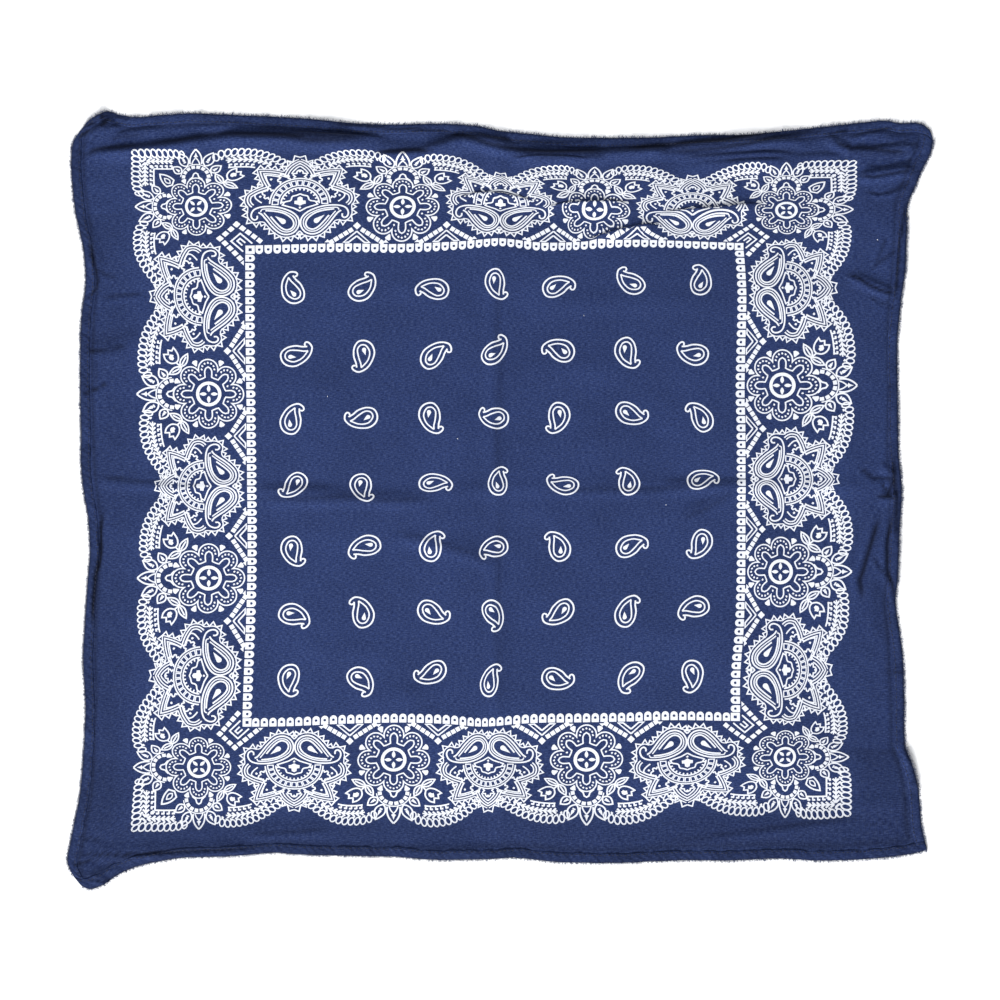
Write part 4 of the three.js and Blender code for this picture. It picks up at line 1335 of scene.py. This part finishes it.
def drawLotus():
    paisley = curve(lotusPaisley)
    half = stroke(paisley, 1.6)
    body = curve([(-40.5, 14.2), *lotusPaisley[6:-1]], step=0.9)
    second = offsetLine(body, -2.7)
    half += stroke(evenly(second, 1.7), 1.2)
    tear = curve([(-33.4, 14), (-24.5, 13), (-15.5, 10.4), (-8.4, 5.2), (-5.8, -0.6), (-8, -5.4), (-13, -7),
                  (-18, -4.6), (-23, 0.6), (-28.4, 7.4)], step=1.7)
    half += stroke(joined(tear, tear[:1]), 1.6)
    half.append(drop(-16.2, 1.8, 12.8, 5.3, 143))
    # the petals, from beside the hook up to the middle
    tips = [(-46.6, 18.6), (-49.2, 31.8), (-31.6, 40.2), (-38.4, 58.8), (-14.2, 54.4), (0, 69.6)]
    bulges = (2.6, 1, 0.8, 1.2, 2.3)
    half += stroke(scallops(tips, bulges, 1.8), 1.4)
    half += stroke(offsetLine(scallops(tips, bulges, 0.9), -2.7)[::2], 1.3)
    strokes = (
        [(-37, 22.6), (-42.6, 27.6), (-43.6, 31.4), (-39.4, 34.2), (-33, 35.6)],
        [(-28.4, 41), (-31.8, 47.8), (-32.8, 54), (-25.6, 53), (-18, 50.6)],
        [(-8, 54.6), (-4.6, 59.8), (0, 63.6)],
    )
    for points in strokes:
        half += stroke(scallops(points, [0.3] * len(points)), 1.4)
    for x, y in ((-38.4, 29.6), (-27.8, 49)):
        half.append(disc(x, y, 2.6, 8))
    for turn in (28, 67):
        half += placed(placed(drawCloud(12, 9.2, 1.5), 0, 30.3), 0, 19.6, turn)
    outside = joined(
        np.array([(0, -9), (-3, -9.8)]),
        curve([
            (-3, -9.8), (-10.9, -12.2), (-17.6, -11.4), (-23.4, -7.5), (-28.6, -1.9), (-33.6, 4.4),
        ], step=0.8),
        curve([(-33.6, 4.4), (-38.8, 4.8), (-44.2, 4), (-48.2, 8.8), (-47.8, 17)], step=0.8),
        np.array([(-47.8, 17), (-47.4, 19)]),
        scallops([(-47.4, 19), *tips[1:]], bulges, 0.9),
    )
    base = offsetLine(outside, 2.5)
    half += stroke(evenly(base, 2.2), 1.1)
    ridge = evenly(base, 3.35)
    if len(ridge) % 2 == 0:
        ridge = evenly(base, 3.35 * (len(ridge) - 1) / len(ridge))
    normal = alongNormals(ridge, False)
    normal /= np.linalg.norm(normal, axis=1, keepdims=True)
    atTip = np.clip((ridge[:, 1:] - 64) / 8, 0, 1)
    normal[:, :1] *= 1 - 0.85 * atTip
    normal /= np.linalg.norm(normal, axis=1, keepdims=True)
    spikes = ridge + normal * ((np.arange(len(ridge)) % 2)[:, None] * (4.5 + 1.6 * atTip))
    spikes[-1] = (0, ridge[-1, 1] + 2.4)
    half += stroke(spikes, 1.4)
    half += stroke([(0, -8.6), (-2.6, -11.2), (0, -13.8)], 1.4)
    # the dome with its ladder and comb
    dome = stroke(arc(0, 19.6, 29.5, 3, 177, 2), 1.5) + stroke(arc(0, 19.6, 18.7, 3, 177, 2), 1.5)
    for k in range(13):
        turn = 6.6 + 13.9 * k
        corners = ((21.4, turn - 5.1), (27.1, turn - 5.3), (27.1, turn + 5.3), (21.4, turn + 5.1))
        dome += stroke([arc(0, 19.6, r, a, a + 1)[0] for r, a in corners], 1.15, closed=True)
    for k in range(13):
        turn = math.radians(10 + 160 / 12 * k)
        dome += stroke([(r * math.cos(turn), 19.6 + r * math.sin(turn)) for r in (18.2, 15.8)], 1.5)
    cloud = curve([
        (17, 19.4), (14.8, 22.6), (10.4, 23.6), (8.6, 25), (7.4, 28.6), (3.4, 29.8), (0, 31.4),
    ], step=1.5)
    cloud = joined(np.array([(0, 12.2), (6, 15.6), (17, 19.4)]), cloud)
    dome += bothSides(stroke(cloud, 1.5))
    fleur = [(0, 18), (2.6, 19.6), (5.6, 20.2), (5.4, 23.6), (2.7, 23.8), (2.4, 27), (0, 28.4)]
    dome.append(np.array(fleur + [(-x, y) for x, y in fleur[-2:0:-1]]))
    dome.append(disc(0, 16, 2.4, 8))
    dome.append(disc(0, 57.6, 2.6, 8))
    dome += placed(drawCloud(13, 9.2, 1.5), 0, 49.9)
    return bothSides(half) + dome


def blockAt(at, ahead, halfLong, halfWide):
    long, wide = ahead * halfLong, np.array([-ahead[1], ahead[0]]) * halfWide
    return np.array([at - long - wide, at + long - wide, at + long + wide, at - long + wide])


def drawPyramid():
    shapes = [np.array([(0, 19), (3.9, 22.9), (0, 26.8), (-3.9, 22.9)])]
    half = []
    ahead = np.array([30, -19]) / math.hypot(30, 19)
    for k in range(5):
        half.append(blockAt(np.array([3.9, 19.6]) + ahead * (5.55 * k + 2.6), ahead, 2.3, 2.2))
    half.append(np.array([(26, 6), (31.6, 6), (28.6, 9.2)]))
    half += stroke([(0, 17.2), (12.9, 5.9), (7.8, 5.9), (0, 12.4)], 1.6)
    return shapes + bothSides(half)


def drawCornerDiamond():
    # at the frame's upper right corner, outside the corner bead
    shapes = []
    for start, end, blocks in (((12.4, 27.6), (27.6, 12.4), 4), ((12.4, 27.6), (-9, 9.6), 5)):
        start, end = np.array(start), np.array(end)
        ahead = (end - start) / np.linalg.norm(end - start)
        for at in np.linspace(start, end, blocks):
            block = blockAt(at, ahead, 2.6, 2.3)
            shapes.append(block)
            if blocks == 5:
                shapes.append(block[::-1, ::-1])
    shapes.append(np.array([(-16.4, 6), (-11, 6), (-13.6, 9)]))
    shapes += stroke([(-2, 6.6), (9.2, 17.6), (17.6, 9.2), (6.6, -2)], 1.6)
    shapes += stroke([(4.6, 7.4), (9.4, 12), (12, 9.4), (7.4, 4.6)], 1.6)
    return shapes


def drawBead():
    low = arc(0, -0.9, 3.7, 200, 340, 1.7)
    outer = np.array([(3.6, 4.6), (-3.6, 4.6), (-3.7, 1.8), (-3.6, -1), *low, (3.6, -1), (3.7, 1.8)])
    hole = np.array([arc(0, 0.1, 1.4, a, a + 1)[0] for a in np.degrees(np.arctan2(outer[:, 1], outer[:, 0]))])
    count = len(outer)
    return [np.array([outer[i], outer[(i + 1) % count], hole[(i + 1) % count], hole[i]]) for i in range(count)]


def drawCornerBead():
    return stroke([(3, 3), (-3, 3), (-3, -3), (3, -3)], 2.9, closed=True)


def drawPaisley():
    # tail upwards, hook to the right
    outer = [
        (1.6, 16.9), (3.6, 17.4), (4.4, 19.6), (1.5, 21.6), (-4.6, 21.2), (-10, 15.2), (-12, 7), (-10.4, -3),
        (-4, -9.4), (3.8, -10.6), (10.6, -7), (11.8, 0.6), (8, 8.8), (2.8, 13.8), (-0.4, 18),
    ]
    inner = [(-4.9, 16.2), (-7.6, 7), (-5.4, -1.8), (1.6, -6.2), (6.9, -4.2), (7.6, 1.4), (2.6, 7.8), (-2.4, 12.6)]
    shapes = stroke(curve(outer), 1.7)
    shapes += stroke(curve(inner + [inner[0]]), 1.5)
    shapes.append(drop(1.4, -1.6, 8.4, 4.4, 134))
    return placed(scaled(placed(shapes, 0.1, -5.6), 0.93, 1), turn=-15)


def insideAny(middles, shapes):
    covered = np.zeros(len(middles), bool)
    for shape in shapes:
        low, high = shape.min(axis=0), shape.max(axis=0)
        near = np.flatnonzero((middles >= low).all(axis=1) & (middles <= high).all(axis=1) & ~covered)
        x, y = middles[near, 0], middles[near, 1]
        winding = np.zeros(len(near), int)
        for (ax, ay), (bx, by) in zip(shape, np.roll(shape, -1, axis=0)):
            left = (bx - ax) * (y - ay) - (x - ax) * (by - ay) > 0
            winding += ((ay <= y) & (by > y) & left).astype(int) - ((ay > y) & (by <= y) & ~left)
        covered[near[winding != 0]] = True
    return covered


def motifObject(name, shapes):
    # the shapes joined into one flat mesh, fine enough to lie on the folds
    corners, faces = [], []
    shapes = [np.array(shape, float) for shape in shapes]
    for shape in shapes:
        following = np.roll(shape, -1, axis=0)
        if (shape[:, 0] * following[:, 1] - shape[:, 1] * following[:, 0]).sum() < 0:
            shape = shape[::-1]
        faces.append(list(range(len(corners), len(corners) + len(shape))))
        corners += [Vector((x, y)) for x, y in shape]
    made = delaunay_2d_cdt(corners, [], faces, 0, 0.02)
    points, triangles = made[0], made[2]
    middles = np.array([[sum(points[i][axis] for i in t) / 3 for axis in (0, 1)] for t in triangles])
    kept = [tuple(t) for t, inside in zip(triangles, insideAny(middles, shapes)) if inside]
    used = sorted({i for t in kept for i in t})
    place = {old: new for new, old in enumerate(used)}
    size = printUnit * mm
    motif = meshObject(name, [(points[i][0] * size, points[i][1] * size, 0) for i in used],
                       [tuple(place[i] for i in t) for t in kept])
    work = bmesh.new()
    work.from_mesh(motif.data)
    for face in work.faces:
        if face.normal.z < 0:
            face.normal_flip()
    long = [edge for edge in work.edges if edge.calc_length() > 3.4 * mm]
    bmesh.ops.subdivide_edges(work, edges=long, cuts=1)
    bmesh.ops.triangulate(work, faces=work.faces)
    work.to_mesh(motif.data)
    work.free()
    return motif


def wrapTree():
    # motifs are set on the flat cloth and carried from there onto its folds
    tree, given = geometryTree("printOnCloth", {
        "Places": "Geometry", "Motif": "Object", "Cloth": "Object", "Ink Lift": "Float", "Ink": "Material",
    }, "Print")
    motif, cloth = (
        wired(tree, "GeometryNodeObjectInfo", {"Object": given[label]}).outputs["Geometry"]
        for label in ("Motif", "Cloth")
    )
    heading = wired(tree, "ShaderNodeCombineXYZ", {"Z": attribute(tree, "turn", "FLOAT")})
    rotation = wired(tree, "FunctionNodeEulerToRotation", {"Euler": heading.outputs["Vector"]})
    stamp = wired(tree, "GeometryNodeInstanceOnPoints", {
        "Points": given["Places"], "Instance": motif, "Rotation": rotation.outputs["Rotation"],
    })
    real = wired(tree, "GeometryNodeRealizeInstances", {"Geometry": stamp.outputs["Instances"]})
    place = wired(tree, "GeometryNodeInputPosition").outputs["Position"]
    flat = attribute(tree, "flatCloth", "FLOAT_VECTOR")

    def onCloth(value, kind):
        # what the cloth has at the same place of its flat map
        sources = {"Mesh": cloth, "Value": value, "UV Map": flat, "Sample UV": place}
        return wired(tree, "GeometryNodeSampleUVSurface", sources, data_type=kind).outputs["Value"]

    def stored(geometry, name, value, kind, domain="POINT"):
        sources = {"Geometry": geometry, "Value": value}
        node = wired(tree, "GeometryNodeStoreNamedAttribute", sources, {"Name": name}, data_type=kind, domain=domain)
        return node.outputs["Geometry"]

    ground = onCloth(place, "FLOAT_VECTOR")
    normal = onCloth(wired(tree, "GeometryNodeInputNormal").outputs["Normal"], "FLOAT_VECTOR")
    lift = wired(tree, "ShaderNodeVectorMath", {0: normal, "Scale": given["Ink Lift"]}, operation="SCALE")
    target = wired(tree, "ShaderNodeVectorMath", {0: ground, 1: lift.outputs["Vector"]}, operation="ADD")
    laid = stored(real.outputs["Geometry"], "flatCloth", place, "FLOAT2", "CORNER")
    laid = stored(laid, "clothNormal", normal, "FLOAT_VECTOR")
    # the painted shade that the cloth holds at the same place
    laid = stored(laid, "foldShade", onCloth(attribute(tree, "foldShade", "FLOAT"), "FLOAT"), "FLOAT")
    moved = wired(tree, "GeometryNodeSetPosition", {"Geometry": laid, "Position": target.outputs["Vector"]})
    return finished(tree, moved.outputs["Geometry"], given["Ink"])


inkLift = 0.16 * mm


def printed(name, motif, places, tree, ink):
    # places: how far across, how far up, and the turn in degrees
    rows = np.array(places, float)
    spots = [(u * mm + 0.3, v * mm + 0.3, 0) for u, v, _ in rows]
    work = meshObject(name + "Places", spots, [])
    givePoints(work, "turn", np.radians(rows[:, 2]))
    piece = applied(name, work, tree, {"Motif": motif, "Cloth": clothTop, "Ink Lift": inkLift, "Ink": ink})
    mesh = piece.data
    normals = np.empty(len(mesh.vertices) * 3)
    mesh.attributes["clothNormal"].data.foreach_get("vector", normals)
    mesh.normals_split_custom_set_from_vertices(normals.reshape(-1, 3).tolist())
    mesh.attributes.remove(mesh.attributes["clothNormal"])
    return piece


def aroundFrame(offsets, out):
    # the same places on all four sides; the print's own top side comes first
    f = printSizes["frameHalf"] + out
    rows = [(p, f, 0) for p in offsets] + [(f, -p, -90) for p in offsets]
    return rows + [(-p, -f, 180) for p in offsets] + [(-f, p, 90) for p in offsets]


def atCorners(out):
    f = printSizes["frameHalf"] + out
    return [(f, f, 0), (f, -f, -90), (-f, -f, 180), (-f, f, 90)]


# Paisleys in the field: across, up, the way the tail points, and 1 where it hooks to the left.
fieldPaisleys = [
    (-142.7, 144.1, 105, 0), (-94.9, 143.7, 50, 1), (-47.8, 140.4, 170, 1), (-0.9, 140.6, -70, 1),
    (43.1, 141.4, 15, 0), (92.7, 143.1, 135, 0), (142.3, 144.3, 85, 1),
    (-139.4, 97, 20, 1), (-94.2, 93.6, -100, 0), (-43.3, 93.7, 40, 0), (-0.3, 94.8, 45, 1),
    (44.2, 95.4, 160, 1), (92.7, 90.9, -65, 1), (137.5, 91.5, 165, 0),
    (-142.5, 50.7, 70, 0), (-95.2, 49.9, 190, 0), (-46.4, 48.2, -75, 1), (-1.8, 48.1, 170, 0),
    (43.6, 47.4, -110, 0), (95.6, 48.8, -20, 1), (142.5, 46.7, 125, 1),
    (-143.7, -0.5, -130, 0), (-95.7, -4.1, -75, 1), (-45.7, -1.6, -3, 0), (0.8, 0.2, 80, 0),
    (45.6, -2.5, 160, 0), (90.8, -1.8, 105, 1), (144.7, -1.2, 15, 0),
    (-143, -51, -70, 1), (-94.9, -49.8, 200, 1), (-47.9, -49, 70, 0), (-4.2, -50.7, 195, 1),
    (41.8, -49.6, 115, 1), (93.9, -51.1, 20, 0), (141.5, -50.8, -120, 0),
    (-141.5, -97.5, -25, 0), (-96.3, -95.8, 110, 1), (-46.5, -97, -25, 1), (-3, -97.8, -60, 0),
    (43.7, -97.5, -145, 0), (92.2, -97.1, 70, 0), (138.1, -96.4, 200, 1),
    (-143.3, -142.9, -85, 1), (-93.8, -145.6, -50, 0), (-46.3, -139.5, 205, 0), (0.5, -142.5, 75, 0),
    (49, -144.2, -15, 1), (99.1, -144.4, -120, 1), (141.4, -144.3, -90, 0),
]


def printCloth():
    pitch, bead, unit = printSizes["motifPitch"], printSizes["beadPitch"], printUnit
    pieces = []
    tree = wrapTree()
    beadPlaces = aroundFrame([bead * (k - 28.5) for k in range(1, 57)], 0)
    lotusPlaces = aroundFrame([-2 * pitch, 0, 2 * pitch], 27.0 * unit)
    rosettePlaces = aroundFrame([-pitch, pitch], 43.2 * unit)
    pyramids = [side * (pitch + apart * 44.4 * unit) for side in (-1, 1) for apart in (-1, 1)]
    turnedRight, turnedLeft = (
        [(u, v, heading - 90) for u, v, heading, left in fieldPaisleys if left == hand] for hand in (0, 1)
    )
    for name, shapes, places in (
        ("printBeads", drawBead(), beadPlaces),
        ("printCornerBeads", drawCornerBead(), atCorners(0)),
        ("printRosettes", drawSideRosette(), rosettePlaces),
        ("printCornerRosettes", drawCornerRosette(), atCorners(49.3 * unit)),
        ("printLotuses", drawLotus(), lotusPlaces),
        ("printPyramids", drawPyramid(), aroundFrame(pyramids, 0)),
        ("printCornerPyramids", drawCornerDiamond(), atCorners(0)),
        ("printPaisleysRight", drawPaisley(), turnedRight),
        ("printPaisleysLeft", placed(drawPaisley(), mirror=True), turnedLeft),
    ):
        motif = motifObject(name + "Motif", shapes)
        piece = printed(name, motif, places, tree, inkMaterial)
        print("bandana:", name, "has", len(piece.data.polygons), "faces")
        bpy.data.objects.remove(motif)
        pieces.append(piece)
    return pieces


whiteInk = {
    "colour": (0.70, 0.72, 0.77, 1),
    "thinColour": (0.36, 0.40, 0.52, 1),
    "roughness": 0.8,
    "paintedShadeAndWear": (900, 1500, 4),
    "weaveGrain": (0.25, 0.0001),
}


def makeWhiteInk():
    w = whiteInk
    material, tree, skin = newMaterial("whiteInk")
    place, weave = weaveNodes(tree, navyCotton["threadPitch"])
    colour = ramp(tree, slubNoise(tree, place, *w["paintedShadeAndWear"]), [(0.3, w["thinColour"]), (0.42, w["colour"])])
    # the ink darkened by the cloth's painted shade
    tree.links.new(multiplied(tree, colour, shadeOfFolds(tree)), skin.inputs["Base Color"])
    tree.links.new(grained(tree, weave, w["weaveGrain"]), skin.inputs["Normal"])
    setInputs(skin, {"Roughness": w["roughness"], "Specular IOR Level": 0.2})
    return material


inkMaterial = makeWhiteInk()
printPieces = printCloth()
bpy.data.objects.remove(clothTop)

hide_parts("cloth_panel")
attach(clothPanel, "root")
for piece in printPieces:
    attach(piece, "root")
for piece in sewn:
    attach(piece, "root")
for side, hem in hems.items():
    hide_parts("hem_" + side)
    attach(hem, "root")

studio = {
    "floorColour": (0.9, 0.9, 0.91, 1),
    "floorSize": 6,
    "cameraHeight": 1.9,
    "frameWidth": 0.69,
    "keyPower": 300,
    "fillPower": 22,
    "skyStrength": 0.33,
}


def buildStudio():
    s = studio
    half = s["floorSize"] / 2
    corners = [(-half, -half, 0), (half, -half, 0), (half, half, 0), (-half, half, 0)]
    floor = meshObject("floor", corners, [(0, 1, 2, 3)])
    material, _, skin = newMaterial("paleFloor")
    setInputs(skin, {"Base Color": s["floorColour"], "Roughness": 0.9})
    floor.data.materials.append(material)
    floor.location.z = -0.00005
    for name, place, size, power in (
        ("keyLight", (-1.3, -3.3, 2.4), 1.8, s["keyPower"]),
        ("fillLight", (-0.7, 0.9, 1.9), 1.8, s["fillPower"]),
    ):
        light = bpy.data.lights.new(name, "AREA")
        light.energy = power
        light.size = size
        lamp = sceneObject(name, light)
        lamp.location = place
        aim = -np.array(place)
        lamp.rotation_euler = (
            math.atan2(math.hypot(aim[0], aim[1]), -aim[2]), 0, math.atan2(aim[1], aim[0]) - math.pi / 2,
        )
    world = bpy.data.worlds.new("studioSky")
    world.use_nodes = True
    setInputs(world.node_tree.nodes["Background"], {"Color": (0.93, 0.96, 1, 1), "Strength": s["skyStrength"]})
    bpy.context.scene.world = world
    lens = bpy.data.cameras.new("cameraAbove")
    lens.sensor_width = 36
    lens.lens = 36 * s["cameraHeight"] / s["frameWidth"]
    lens.clip_end = 20
    camera = sceneObject("cameraAbove", lens)
    camera.location = (0, 0, s["cameraHeight"])
    bpy.context.scene.camera = camera
    bpy.context.scene.view_settings.view_transform = "Standard"


buildStudio()
print("bandana: floor, lights and camera are set")

bpy.context.view_layer.update()
